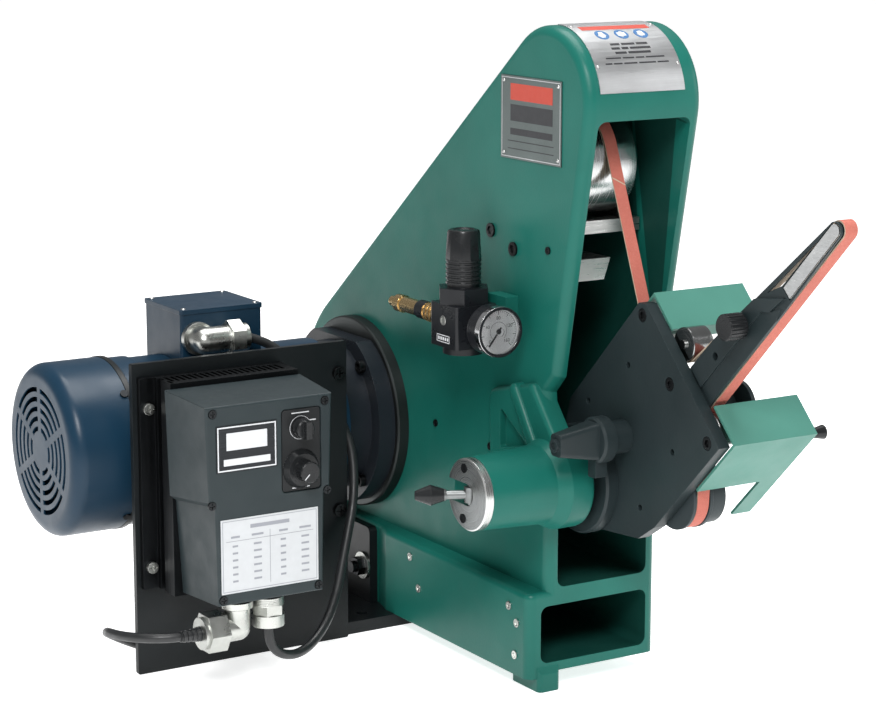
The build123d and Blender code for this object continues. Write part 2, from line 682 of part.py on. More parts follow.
def abrasive_belt():
    outer = belt_loop(BELT_GAP + BELT_T, BELT_GAP)
    inner = belt_loop(BELT_GAP, BELT_GAP + BELT_T)
    print("belt length", round(belt_loop(BELT_T / 2, BELT_T / 2).length))
    start = Plane.YZ.offset(-BELT_W / 2)
    band = extrude(start * Face(outer), BELT_W) - extrude(start * Face(inner), BELT_W)
    return band


def drive_wheel():
    y, z = WHEEL_AT["drive_wheel"]
    wheel = rod_x(DRIVE_R, -16, 16, y, z)
    wheel = chamfer(wheel.edges(), 1)
    wheel = wheel - rod_x(48, -17, -6, y, z) - rod_x(48, 6, 17, y, z)
    wheel = wheel + rod_x(18, -20, 24, y, z)
    return wheel - rod_x(8, -30, 40, y, z)


def top_pulley():
    y, z = WHEEL_AT["top_pulley"]
    wheel = rod_x(PULLEY_R, -PULLEY_W / 2, PULLEY_W / 2, y, z)
    wheel = chamfer(wheel.edges(), 1)
    wheel = wheel - rod_x(40, -PULLEY_W / 2 - 1, -8, y, z) - rod_x(40, 8, PULLEY_W / 2 + 1, y, z)
    wheel = wheel + rod_x(16, -PULLEY_W / 2, PULLEY_W / 2, y, z)
    return wheel - rod_x(8 + RUN, -40, 40, y, z)


def tension_carrier():
    """Steel fork that holds the top pulley's axle, on a piston rod and two guide pins."""
    y, z = WHEEL_AT["top_pulley"]
    cross = box(-38, 48, -330, -262, 421.5, 433.5)
    cheeks = []
    for x0, x1 in ((-38, -31), (31, 38)):
        cheek = plate_x([(-328, 430), (-264, 430), (y + 14, z + 12), (y, z + 18), (y - 14, z + 12)], x0, x1)
        cheeks.append(cheek)
    axle = rod_x(8, -40, 40, y, z)
    rod = rod_z(5, 365, 422, -18, -296)
    pins = [rod_z(4, 374, 422, x, -296) for x in (-38.5 + 2, 4)]
    carrier = cross + cheeks[0] + cheeks[1] + axle + rod
    for pin in pins:
        carrier = carrier + pin
    return carrier


def air_cylinder():
    """Steel block on the left wall with the bore of the tensioning piston, slanted at its free end."""
    block = plate_y([(-50, 378.5), (9, 378.5), (16, 398.5), (-50, 398.5)], -330, -262)
    flange = box(-50, -43, -300, -236, 378.5, 428)
    barrel = rod_z(12, 344, 380, -18, -296)
    body = block + flange + barrel
    body = body - rod_z(5 + RUN, 352, 400, -18, -296)
    for x in (-36.5, 4):
        body = body - rod_z(4 + RUN, 366, 400, x, -296)
    return body


# ---------------------------------------------------------------- swivelling head

def swivel_hub():
    """Hub disc and the shaft that turns in the casting's boss."""
    disc = rod_x(HUB_R, -35, HEAD_X0, SWIVEL_Y, SWIVEL_Z)
    disc = chamfer(disc.edges().group_by(Axis.X)[0], 2)
    neck = rod_x(30, -41.4, -35, SWIVEL_Y, SWIVEL_Z)
    shaft = rod_x(SWIVEL_SHAFT_R, -140, -35, SWIVEL_Y, SWIVEL_Z)
    return disc + neck + shaft


def head_plate():
    corner = 7.0
    square = [(181, 433 - corner), (181 + corner, 433), (341, 433), (341, 306), (335, 278), (181, 278)]
    hub = Pos(SWIVEL_Y, SWIVEL_Z) * Circle(46)
    sharp = make_face(Polyline(*[head_point(*p) for p in square], close=True))
    outline = make_hull(hub.edges() + sharp.edges())
    plate = extrude(Plane.YZ.offset(HEAD_X0) * outline, HEAD_X1 - HEAD_X0)
    for along, out in HEAD_SCREWS:
        y, z = head_point(along, out)
        plate = plate - rod_x(6.2, HEAD_X0 - 1, HEAD_X0 + 4, y, z)
    for along, out in HEAD_HOLES:
        y, z = head_point(along, out)
        plate = plate - rod_x(3, HEAD_X0 - 1, HEAD_X0 + 8, y, z)
    return plate


HEAD_SCREWS = [(192, 422), (260, 413), (328, 422)]
HEAD_HOLES = [(212, 374), (306, 375), (200, 300), (316, 300)]


def head_pins():
    """Cap screws in the head plate's counterbores and the headed axle pins of the four rollers."""
    screws = roller_axles()
    for along, out in HEAD_SCREWS:
        y, z = head_point(along, out)
        screws.append(cap_screw_x(5.6, HEAD_X0 + 4, y, z, 4))
    return screws


def roller_axles():
    pins = []
    for name, reach in (("guide_roller", 12), ("steel_roller", 16), ("lower_roller", 16), ("lower_idler", 31)):
        y, z = WHEEL_AT[name]
        pins.append(rod_x(4, HEAD_X1, reach, y, z) + rod_x(6.5, reach, reach + 3, y, z))
    return pins


def roller(name, radius, x0, x1, axle=4.0):
    y, z = WHEEL_AT[name]
    body = rod_x(radius, x0, x1, y, z)
    body = chamfer(body.edges(), 0.6)
    return body - rod_x(axle + RUN, x0 - 1, x1 + 1, y, z)


def lower_idler():
    y, z = WHEEL_AT["lower_idler"]
    body = rod_x(LOWER_R, -8.6, 26, y, z)
    rims = rod_x(LOWER_R + 2.2, -10.6, -7.4, y, z) + rod_x(LOWER_R + 2.2, 7.4, 11, y, z)
    body = body + rims
    return body - rod_x(4 + RUN, -12, 30, y, z)


def tip_wheel():
    y, z = WHEEL_AT["tip_wheel"]
    return rod_x(TIP_R, -5.5, 5.5, y, z) - rod_x(2 + RUN, -7, 7, y, z)


def contact_arm():
    """Black arm between the two runs of the belt, forked round the tip wheel."""
    root = head_plate_x([(262, 372), (295, 372), (295, 420), (262, 420)], HEAD_X1, 9)
    foot = root + head_plate_x([(267, 420), (294, 420), (294, 500), (290, 545), (270, 545)], -10, 10)
    neck = head_plate_x([(276, 545), (291, 545), (291, 586), (279, 582)], -8.5, 8.5)
    spine = head_plate_x([(283.5, 582), (291, 582), (291, 648), (285.5, 648)], -4, 4)
    arm = foot + neck + spine
    y, z = WHEEL_AT["tip_wheel"]
    for x0, x1 in ((-8.5, -6), (6, 8.5)):
        cheek = head_plate_x([(281.5, 575), (292.5, 575), (292.2, 664), (282.5, 664)], x0, x1)
        cheek = cheek + rod_x(5.0, x0, x1, y, z)
        arm = arm + cheek
    arm = arm + rod_x(2, -8.5, 8.5, y, z) + side_cover()
    disc_y, disc_z = head_point(291.5, 415.2)
    arm = arm + rod_x(23, 32, 36, disc_y, disc_z) + rod_x(9, 33, 39, disc_y, disc_z)
    arm = arm + head_plate_x([(274, 400), (292, 400), (292, 418), (274, 418)], 8, 33)
    for x0, x1 in ((-8.5, -3), (3, 8.5)):
        arm = arm + head_plate_x([(284, 578), (291, 578), (291, 640), (285.5, 640)], x0, x1)
    hole_y, hole_z = head_point(273, 472)
    return arm - rod_x(3.6, -14, 12, hole_y, hole_z) - rod_x(4 + RUN, -14, 12, *head_point(276, 521))


def side_cover():
    """Left cover of the arm: a plate over both runs of the belt, a raised block and the rail's slot."""
    y, z = WHEEL_AT["tip_wheel"]
    plate = head_plate_x([(258, 425), (260, 480), (267, 545), (279.7, 664), (294.7, 664), (298, 560), (298, 425)],
                         -10.5, -8.5)
    plate = plate + rod_x(7.5, -10.5, -8.5, y, z)
    window = head_plate_x([(273, 562), (280, 640), (280.9, 640), (280.4, 582)], -11, -8.4)
    slot = head_plate_x([(281.3, 581), (295, 581), (293.9, 664), (280.5, 664)], -11, -8.5)
    slot = slot + rod_x(6.7, -11, -8.5, y, z)
    block = head_plate_x([(260, 437), (261, 480), (268, 548), (274, 556), (291, 579), (288, 556), (281, 548),
                          (281, 437)], -13.5, -10.5)
    low = head_plate_x([(281, 437), (281, 548), (288, 556), (294, 568), (298, 556), (298, 437)], -11.5, -10.5)
    return (plate - window - slot) + block + low


def platen_bar():
    """Aluminium rail let into the left side of the arm, rounded about the tip wheel's axle."""
    y, z = WHEEL_AT["tip_wheel"]
    rail = head_plate_x([(282.6, 582.5), (293.8, 582.5), (292.7, 664), (281.7, 664)], -10.8, -8.5)
    return rail + rod_x(5.5, -10.8, -8.5, y, z)


def arm_knob():
    """Knurled screw that clamps the contact arm."""
    y, z = head_point(276, 521)
    grip = rod_x(11.5, -34, -16, y, z)
    grip = chamfer(grip.edges(), 1)
    teeth = 20
    for i in range(teeth):
        a = 2 * math.pi * i / teeth
        grip = grip - rod_x(1.2, -35, -15, y + 12 * math.cos(a), z + 12 * math.sin(a))
    collar = rod_x(7, -16, -13.7, y, z)
    return grip + collar + rod_x(4, -14, 9, y, z)


def bent_guard(top, front, x0, x1, sheet=2.0):
    """Sheet guard from two outlines in head axes, each a (along, out) strip."""
    return head_plate_x(top, x0, x1) + head_plate_x(front, x0, x1)


def upper_guard():
    """Channel over the top of the head, its outer face flush with the head's front edge."""
    face = head_plate_x([(179, 433.5), (219, 433.5), (219, 436), (179, 436)], HEAD_X1, 87)
    top = head_plate_x([(179, 405), (181.5, 405), (181.5, 436), (179, 436)], HEAD_X1, 87)
    low = head_plate_x([(216.5, 420), (219, 420), (219, 436), (216.5, 436)], 20, 87)
    return face + top + low


def lower_guard():
    """Bent cover below the contact arm, open over the lower idler."""
    face = head_plate_x([(302.5, 437), (344, 437), (344, 439.5), (302.5, 439.5)], HEAD_X1, 79)
    front = head_plate_x([(341.5, 367), (344, 367), (344, 439.5), (341.5, 439.5)], HEAD_X1, 79)
    tail = head_plate_x([(341.5, 312), (344, 312), (344, 368), (341.5, 368)], 58, 79)
    end = head_plate_x([(320, 363), (344, 312), (344, 439.5), (302.5, 439.5), (302.5, 430)], 76.5, 79)
    return face + front + tail + end - rod_x(2.5 + RUN, 76, 80, *head_point(339, 432))


def guard_knob():
    y, z = head_point(339, 432)
    return rod_x(2.5, 71, 80.3, y, z) + cone_x(4, 6.5, 79.3, 92, y, z)


def swivel_clamp():
    """Tapered clamp lug that stands out of the head plate beside the hub."""
    y, z = -409.0, 250.5
    stem = rod_x(15, -46, HEAD_X0, y, z)
    disc = rod_x(21, -57, -44, y, z)
    disc = chamfer(disc.edges().group_by(Axis.X)[0], 2)
    near = Plane.YZ.offset(-56) * Pos(y, z) * RectangleRounded(22, 34, 4)
    far = Plane.YZ.offset(-96) * Pos(y, z) * RectangleRounded(16, 20, 4)
    lug = loft([near, far])
    tab = box(-57, -45, y - 6, y + 6, z - 34, z - 18)
    tab = fillet(tab.edges().filter_by(Axis.X), 2)
    return stem + disc + lug + tab + cap_screw_x(6, -96, y, z, 3)


def lock_lever():
    """Cam lever of the swivel lock: steel stem and tapered black grip, pivoting in the end cap."""
    reach = math.radians(26)
    turn = Pos(-148, SWIVEL_Y, SWIVEL_Z) * Rot(0, 0, -math.degrees(reach))
    cam = Pos(-148, SWIVEL_Y, SWIVEL_Z) * Cylinder(6, 14) + Pos(-148, SWIVEL_Y, SWIVEL_Z) * Cylinder(2.5, 38)
    stem = turn * Pos(-12, 0, 0) * Rot(0, 90, 0) * Cylinder(4, 24)
    neck = turn * Pos(-29, 0, 0) * Rot(0, 90, 0) * Cone(9.5, 5, 14)
    grip = turn * Pos(-43, 0, 0) * Rot(0, 90, 0) * Cone(4, 9.5, 14)
    return cam + stem + neck + grip


# ---------------------------------------------------------------- write every piece

def write(name, shape):
    solids = shape if isinstance(shape, list) else [shape]
    flat = []
    for item in solids:
        flat.extend(item.solids())
    result = flat[0] if len(flat) == 1 else Compound(children=flat)
    export_step(result, os.path.join("parts", name + ".step"))


PIECES = [
    frame_casting, casting_screws, boss_end_cap, base_plate, side_bracket, support_plate, machine_bolts,
    adapter_disc, motor_front_bell, motor_shell, motor_stator, rotor_shaft, fan_cowl, cooling_fan,
    terminal_box, terminal_box_lid, conduit_elbow, heat_sink, controller_cover,
    cover_screws, control_panel, power_knob, speed_knob, circuit_board, label_plates, output_gland,
    power_elbow, motor_cable, power_cord, cord_coil, cord_tie, plug, regulator_body,
    regulator_bracket, bonnet_nut, regulator_knob, gauge_case, gauge_needle,
    air_inlet_fitting, abrasive_belt, drive_wheel, top_pulley, tension_carrier, air_cylinder,
    swivel_hub, head_plate, head_pins, lower_idler,
    tip_wheel, contact_arm, platen_bar, arm_knob, upper_guard, lower_guard, guard_knob,
    swivel_clamp, lock_lever,
]


def main():
    os.makedirs("parts", exist_ok=True)
    for make in PIECES:
        write(make.__name__, make())
    write("guide_roller", roller("guide_roller", GUIDE_R, -8.5, 10))
    write("steel_roller", roller("steel_roller", STEEL_R, -9, 12))
    write("lower_roller", roller("lower_roller", LOWER_ROLLER_R, -9, 12))


main()
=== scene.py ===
import math

import bmesh
import bpy
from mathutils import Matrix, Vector


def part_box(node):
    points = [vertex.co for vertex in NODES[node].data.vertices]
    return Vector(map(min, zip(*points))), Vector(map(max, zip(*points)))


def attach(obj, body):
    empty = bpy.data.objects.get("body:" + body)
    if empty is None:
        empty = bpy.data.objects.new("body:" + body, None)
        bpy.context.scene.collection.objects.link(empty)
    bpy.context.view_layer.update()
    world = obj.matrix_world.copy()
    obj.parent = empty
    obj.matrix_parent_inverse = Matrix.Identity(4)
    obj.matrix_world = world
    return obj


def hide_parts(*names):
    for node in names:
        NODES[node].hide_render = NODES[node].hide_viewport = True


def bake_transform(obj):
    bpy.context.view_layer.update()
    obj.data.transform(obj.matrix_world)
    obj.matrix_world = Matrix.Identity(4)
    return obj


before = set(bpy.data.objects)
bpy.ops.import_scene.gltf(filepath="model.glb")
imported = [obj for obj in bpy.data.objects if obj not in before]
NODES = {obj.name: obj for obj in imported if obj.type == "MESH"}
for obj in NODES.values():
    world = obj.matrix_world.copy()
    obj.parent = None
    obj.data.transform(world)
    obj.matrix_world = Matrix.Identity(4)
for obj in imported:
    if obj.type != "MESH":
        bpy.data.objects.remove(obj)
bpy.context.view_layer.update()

MM = 0.001


# ---------------------------------------------------------------- camera

CAMERA_PLACE = (-1.28537, -2.16419, 0.75438)
CAMERA_HEADING = 58.68         # degrees from +X towards +Y
CAMERA_PITCH = 11.40           # degrees below the horizon
CAMERA_LENS = 101.6
CAMERA_REACH = 200             # metres


def make_camera():
    data = bpy.data.cameras.new("camera")
    data.lens = CAMERA_LENS
    data.clip_end = CAMERA_REACH
    camera = bpy.data.objects.new("camera", data)
    bpy.context.scene.collection.objects.link(camera)
    camera.location = CAMERA_PLACE
    heading, pitch = math.radians(CAMERA_HEADING), math.radians(CAMERA_PITCH)
    level = math.cos(pitch)
    look = Vector((math.cos(heading) * level, math.sin(heading) * level, -math.sin(pitch)))
    camera.rotation_mode = "QUATERNION"
    camera.rotation_quaternion = look.to_track_quat("-Z", "Y")
    bpy.context.scene.camera = camera


make_camera()


# ---------------------------------------------------------------- material tools

def socket_value(shader, values):
    for name, value in values.items():
        shader.inputs[name].default_value = value


class Paintbox:
    """A material's node tree with short calls for the nodes that the materials share."""

    def __init__(self, name):
        self.material = bpy.data.materials.new(name)
        self.material.use_nodes = True
        self.tree = self.material.node_tree
        self.shader = self.tree.nodes["Principled BSDF"]
        self.place = self.add("ShaderNodeTexCoord").outputs["Object"]

    def add(self, kind, **settings):
        node = self.tree.nodes.new(kind)
        for key, value in settings.items():
            setattr(node, key, value)
        return node

    def link(self, source, target):
        self.tree.links.new(source, target)

    def feed(self, node, key, value):
        if isinstance(value, bpy.types.NodeSocket):
            self.link(value, node.inputs[key])
        elif value is not None:
            node.inputs[key].default_value = value

    def stretched(self, scale):
        node = self.add("ShaderNodeMapping")
        self.link(self.place, node.inputs["Vector"])
        node.inputs["Scale"].default_value = scale
        return node.outputs["Vector"]

    def noise(self, scale, detail=3.0, rough=0.55, vector=None):
        node = self.add("ShaderNodeTexNoise")
        self.feed(node, "Vector", vector or self.place)
        self.feed(node, "Scale", scale)
        self.feed(node, "Detail", detail)
        self.feed(node, "Roughness", rough)
        return node.outputs["Fac"]

    def cells(self, scale):
        node = self.add("ShaderNodeTexVoronoi")
        self.feed(node, "Vector", self.place)
        self.feed(node, "Scale", scale)
        return node

    def ramp(self, value, low, high, out_low=0.0, out_high=1.0):
        node = self.add("ShaderNodeMapRange")
        self.feed(node, "Value", value)
        for key, number in (("From Min", low), ("From Max", high), ("To Min", out_low), ("To Max", out_high)):
            node.inputs[key].default_value = number
        return node.outputs["Result"]

    def math(self, operation, a, b):
        node = self.add("ShaderNodeMath", operation=operation)
        self.feed(node, 0, a)
        self.feed(node, 1, b)
        return node.outputs[0]

    def mix(self, factor, a, b):
        node = self.add("ShaderNodeMix", data_type="RGBA")
        self.feed(node, 0, factor)
        self.feed(node, 6, a)
        self.feed(node, 7, b)
        return node.outputs[2]

    def bevel(self, radius):
        node = self.add("ShaderNodeBevel", samples=4)
        node.inputs["Radius"].default_value = radius
        return node.outputs["Normal"]

    def edge_mask(self, radius):
        """1 along sharp edges, 0 on open faces."""
        round_normal = self.bevel(radius)
        flat = self.add("ShaderNodeNewGeometry").outputs["Normal"]
        dot = self.add("ShaderNodeVectorMath", operation="DOT_PRODUCT")
        self.link(round_normal, dot.inputs[0])
        self.link(flat, dot.inputs[1])
        return self.ramp(dot.outputs["Value"], 0.995, 0.80)

    def bump(self, height, strength, distance, normal=None):
        node = self.add("ShaderNodeBump")
        self.feed(node, "Height", height)
        self.feed(node, "Strength", strength)
        self.feed(node, "Distance", distance)
        self.feed(node, "Normal", normal)
        return node.outputs["Normal"]

    def colour(self, value):
        self.feed(self.shader, "Base Color", value)

    def rough(self, value):
        self.feed(self.shader, "Roughness", value)

    def normal(self, value):
        self.feed(self.shader, "Normal", value)


def rgb(r, g, b):
    return (r, g, b, 1.0)


def shade(colour, factor):
    return rgb(*[min(1.0, c * factor) for c in colour[:3]])


def painted(name, colour, roughness=0.38, grain=380, strength=0.12, edge=0.0006, wear=0.25, coat=0.25):
    """Sprayed paint over metal: slow colour drift, orange peel, soft edges that have rubbed lighter."""
    box = Paintbox(name)
    drift = box.ramp(box.noise(9, 4), 0.35, 0.68)
    base = box.mix(drift, shade(colour, 0.90), shade(colour, 1.08))
    edges = box.edge_mask(edge * 1.4)
    patches = box.ramp(box.noise(60, 5), 0.42, 0.62, 0.1, wear)
    rubbed = box.math("MULTIPLY", edges, patches)
    box.colour(box.mix(rubbed, base, shade(colour, 2.2)))
    box.rough(box.ramp(box.noise(34, 4), 0.3, 0.7, roughness - 0.06, roughness + 0.08))
    peel = box.noise(grain, 2)
    box.normal(box.bump(peel, strength, 0.0004, box.bevel(edge)))
    socket_value(box.shader, {"Coat Weight": coat, "Coat Roughness": 0.25, "Specular IOR Level": 0.22})
    return box.material


def moulded(name, colour, roughness=0.45, grain=900, strength=0.18, edge=0.0005):
    """Moulded plastic with a fine spark-eroded texture."""
    box = Paintbox(name)
    drift = box.noise(14, 3)
    box.colour(box.mix(drift, shade(colour, 0.85), shade(colour, 1.18)))
    box.rough(box.ramp(box.noise(50, 3), 0.3, 0.7, roughness - 0.07, roughness + 0.08))
    box.normal(box.bump(box.noise(grain, 2), strength, 0.0002, box.bevel(edge)))
    socket_value(box.shader, {"Specular IOR Level": 0.28})
    return box.material


def metal(name, colour, roughness=0.3, streak=(600, 30, 30), strength=0.1, edge=0.0004):
    """Bare metal with tool marks drawn out along one direction and faint tarnish."""
    box = Paintbox(name)
    marks = box.noise(1.0, 3, 0.6, box.stretched(streak))
    cloud = box.ramp(box.noise(26, 5), 0.35, 0.7)
    base = box.mix(cloud, shade(colour, 0.82), colour)
    box.colour(box.mix(box.ramp(marks, 0.35, 0.65, 0.0, 0.5), base, shade(colour, 0.8)))
    box.rough(box.ramp(marks, 0.3, 0.7, roughness - 0.07, roughness + 0.1))
    box.normal(box.bump(marks, strength, 0.0003, box.bevel(edge)))
    socket_value(box.shader, {"Metallic": 1.0})
    return box.material


def turned(name, colour, centre, roughness=0.24, pitch=1500, strength=0.12):
    """Metal turned on a lathe about an axis along X: fine rings round the axis through centre (y, z)."""
    box = Paintbox(name)
    offset = box.add("ShaderNodeVectorMath", operation="SUBTRACT")
    box.link(box.place, offset.inputs[0])
    offset.inputs[1].default_value = (0, centre[0], centre[1])
    parts = box.add("ShaderNodeSeparateXYZ")
    box.link(offset.outputs[0], parts.inputs[0])
    flat = box.add("ShaderNodeCombineXYZ")
    box.link(parts.outputs["Y"], flat.inputs["Y"])
    box.link(parts.outputs["Z"], flat.inputs["Z"])
    length = box.add("ShaderNodeVectorMath", operation="LENGTH")
    box.link(flat.outputs[0], length.inputs[0])
    ring = box.add("ShaderNodeCombineXYZ")
    box.link(parts.outputs["X"], ring.inputs["X"])
    box.link(length.outputs["Value"], ring.inputs["Y"])
    marks = box.noise(pitch, 2, 0.6, ring.outputs[0])
    cloud = box.noise(30, 4)
    box.colour(box.mix(cloud, shade(colour, 0.82), colour))
    box.rough(box.ramp(marks, 0.3, 0.7, roughness - 0.08, roughness + 0.1))
    box.normal(box.bump(marks, strength, 0.0002, box.bevel(0.0004)))
    socket_value(box.shader, {"Metallic": 1.0})
    return box.material


def cast_metal(name, colour, roughness=0.34, grain=500):
    """Die-cast zinc or brass: bright metal with a slightly lumpy skin."""
    box = Paintbox(name)
    cloud = box.ramp(box.noise(45, 5), 0.35, 0.7)
    box.colour(box.mix(cloud, shade(colour, 0.72), colour))
    box.rough(box.ramp(box.noise(90, 4), 0.3, 0.7, roughness - 0.08, roughness + 0.12))
    box.normal(box.bump(box.noise(grain, 3), 0.16, 0.0003, box.bevel(0.0005)))
    socket_value(box.shader, {"Metallic": 1.0})
    return box.material


def rubber(name, colour, roughness):
    """Matt cord jacket with a fine grain."""
    box = Paintbox(name)
    box.colour(box.mix(box.noise(30, 4), shade(colour, 0.8), shade(colour, 1.5)))
    box.rough(box.ramp(box.noise(120, 4), 0.3, 0.7, roughness - 0.1, roughness + 0.1))
    box.normal(box.bump(box.noise(1400, 2), 0.12, 0.0002))
    return box.material


def abrasive(name):
    """Grit bonded on cloth: salmon resin with darker and paler grains."""
    box = Paintbox(name)
    grain = box.cells(2600)
    tone = box.noise(500, 3)
    base = box.mix(tone, rgb(0.40, 0.098, 0.070), rgb(0.52, 0.150, 0.110))
    speck = box.ramp(box.noise(2200, 2), 0.60, 0.72, 0, 0.7)
    worn = box.mix(box.ramp(box.noise(18, 5), 0.4, 0.7, 0, 0.45), base, rgb(0.30, 0.075, 0.055))
    box.colour(box.mix(speck, worn, rgb(0.58, 0.29, 0.24)))
    box.rough(0.82)
    box.normal(box.bump(grain.outputs["Distance"], 0.5, 0.0004))
    return box.material


def glass(name):
    """Moulded lens, with faint wipe marks in its gloss."""
    box = Paintbox(name)
    box.colour(rgb(1, 1, 1))
    box.rough(box.ramp(box.noise(40, 4), 0.3, 0.8, 0.02, 0.09))
    socket_value(box.shader, {"Transmission Weight": 1.0, "IOR": 1.45})
    return box.material


def printed(name, colour, roughness=0.5):
    """Screen-printed ink or a printed plate: near-even colour with a slight mottle."""
    box = Paintbox(name)
    box.colour(box.mix(box.noise(160, 4), shade(colour, 0.93), shade(colour, 1.05)))
    box.rough(box.ramp(box.noise(200, 3), 0.3, 0.7, roughness - 0.05, roughness + 0.05))
    box.normal(box.bump(box.noise(1200, 2), 0.05, 0.0001))
    return box.material


def woven(name, colour):
    """Belt backing: tan cloth with a fine cross weave, darkened by use."""
    box = Paintbox(name)
    warp = box.add("ShaderNodeTexWave", wave_type="BANDS", bands_direction="X")
    weft = box.add("ShaderNodeTexWave", wave_type="BANDS", bands_direction="Z")
    for wave in (warp, weft):
        box.feed(wave, "Vector", box.place)
        box.feed(wave, "Scale", 420.0)
    weave = box.math("ADD", warp.outputs["Fac"], weft.outputs["Fac"])
    soiled = box.mix(box.ramp(box.noise(24, 4), 0.35, 0.7), shade(colour, 0.7), colour)
    box.colour(box.mix(box.ramp(weave, 0.4, 1.6, 0.0, 0.5), soiled, shade(colour, 1.25)))
    box.rough(0.8)
    box.normal(box.bump(weave, 0.25, 0.0002))
    return box.material


def centre_of(node):
    low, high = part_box(node)
    return (low + high) / 2


def yz(node):
    centre = centre_of(node)
    return (centre.y, centre.z)


GREEN = rgb(0.007, 0.110, 0.086)
PALE_GREEN = rgb(0.060, 0.190, 0.152)
BLACK = rgb(0.006, 0.008, 0.009)
MOTOR_BLUE = rgb(0.006, 0.026, 0.050)

CAST_SKIN = {"grain": 420, "strength": 0.22, "edge": 0.0012, "wear": 0.10, "coat": 0.0}
ETCHED = (30, 900, 900)        # brushed along X
INLET_MARKS = (0.0, 0.338)     # (y, z) behind the air inlet, in metres, so that its marks cross it

MAT = {
    "casting": painted("casting paint", GREEN, 0.36, **CAST_SKIN),
    # darker copy of the casting paint: painted shade for the walls inside the cavity, throat and pocket
    "inside": painted("casting paint darkened as painted shade", shade(GREEN, 0.38), 0.6, **CAST_SKIN),
    "guard": painted("guard paint", PALE_GREEN, 0.40, grain=700, strength=0.10, wear=0.15, coat=0.0),
    "black": painted("black paint", BLACK, 0.36, grain=650, strength=0.16, wear=0.35, coat=0.0),
    "head": painted("head blacking", rgb(0.015, 0.023, 0.025), 0.40,
                    grain=260, strength=0.22, wear=0.9, coat=0.0),
    "motor": painted("motor paint", MOTOR_BLUE, 0.36,
                     grain=300, strength=0.10, edge=0.0008, wear=0.12, coat=0.06),
    "bell": painted("bell paint", rgb(0.010, 0.013, 0.017), 0.32,
                    grain=300, strength=0.15, wear=0.3, coat=0.05),
    "oxide": metal("black oxide", rgb(0.030, 0.032, 0.034), 0.36, streak=(300, 300, 300)),
    "steel": metal("machined steel", rgb(0.56, 0.56, 0.55), 0.30, streak=(40, 500, 500), strength=0.04),
    "alloy": turned("turned alloy", rgb(0.58, 0.59, 0.59), yz("top_pulley"), 0.20, pitch=900, strength=0.03),
    "drive": turned("drive wheel alloy", rgb(0.60, 0.60, 0.59), yz("drive_wheel"), 0.28, strength=0.05),
    "cap": turned("turned end cap", rgb(0.60, 0.61, 0.60), yz("boss_end_cap"), 0.28, strength=0.06),
    "disc": turned("adapter disc", rgb(0.055, 0.062, 0.062), yz("adapter_disc"), 0.45, strength=0.06),
    "shank": metal("worn steel", rgb(0.22, 0.23, 0.23), 0.38, streak=(200, 60, 200), strength=0.06),
    "roller": turned("ground roller", rgb(0.30, 0.31, 0.31), yz("steel_roller"), 0.16, strength=0.04),
    "bar": metal("platen alloy", rgb(0.52, 0.53, 0.53), 0.30, streak=(200, 90, 900), strength=0.06),
    "sink": metal("black anodised", rgb(0.020, 0.022, 0.024), 0.42, streak=(300, 300, 20)),
    "cover": moulded("controller cover", rgb(0.018, 0.027, 0.030), 0.46,
                     grain=700, strength=0.30, edge=0.0012),
    "panel": moulded("panel insert", rgb(0.011, 0.012, 0.013), 0.50, grain=1200),
    "knob": moulded("knob plastic", rgb(0.011, 0.012, 0.013), 0.26, grain=500, strength=0.08),
    "board": moulded("circuit board", rgb(0.02, 0.13, 0.05), 0.4),
    "copper": metal("windings", rgb(0.50, 0.22, 0.11), 0.4, streak=(40, 900, 900)),
    "zinc": cast_metal("die-cast zinc", rgb(0.56, 0.57, 0.54), 0.30),
    "chrome": cast_metal("chromed bezel", rgb(0.76, 0.77, 0.78), 0.12, 200),
    "brass": turned("turned brass", rgb(0.66, 0.48, 0.24), INLET_MARKS, 0.24, strength=0.05),
    "rubber": rubber("cord jacket", rgb(0.012, 0.013, 0.014), 0.42),
    "regulator": moulded("regulator body", rgb(0.009, 0.010, 0.012), 0.30, grain=600),
    "belt": abrasive("abrasive grit"),
    "cloth": woven("belt backing", rgb(0.42, 0.33, 0.24)),
    "plate": metal("etched plate", rgb(0.66, 0.67, 0.68), 0.36, ETCHED, strength=0.03, edge=0.0002),
    "nameplate": metal("blacked plate", rgb(0.035, 0.037, 0.040), 0.30, ETCHED, strength=0.03),
    "white": printed("white print", rgb(0.60, 0.61, 0.63)),
    "dial": printed("dial face", rgb(0.70, 0.71, 0.72), 0.4),
    "ink": printed("black ink", rgb(0.018, 0.019, 0.022)),
    "grey_ink": printed("grey ink", rgb(0.26, 0.27, 0.30)),
    "red": printed("red print", rgb(0.42, 0.045, 0.025)),
    "blue": printed("blue print", rgb(0.020, 0.110, 0.27)),
    "label": printed("white label", rgb(0.50, 0.515, 0.53), 0.35),
    "greyplate": metal("grey etched plate", rgb(0.17, 0.20, 0.195), 0.34, ETCHED, strength=0.03),
    "needle": printed("needle black", rgb(0.02, 0.02, 0.022), 0.35),
    "glass": glass("gauge lens"),
}

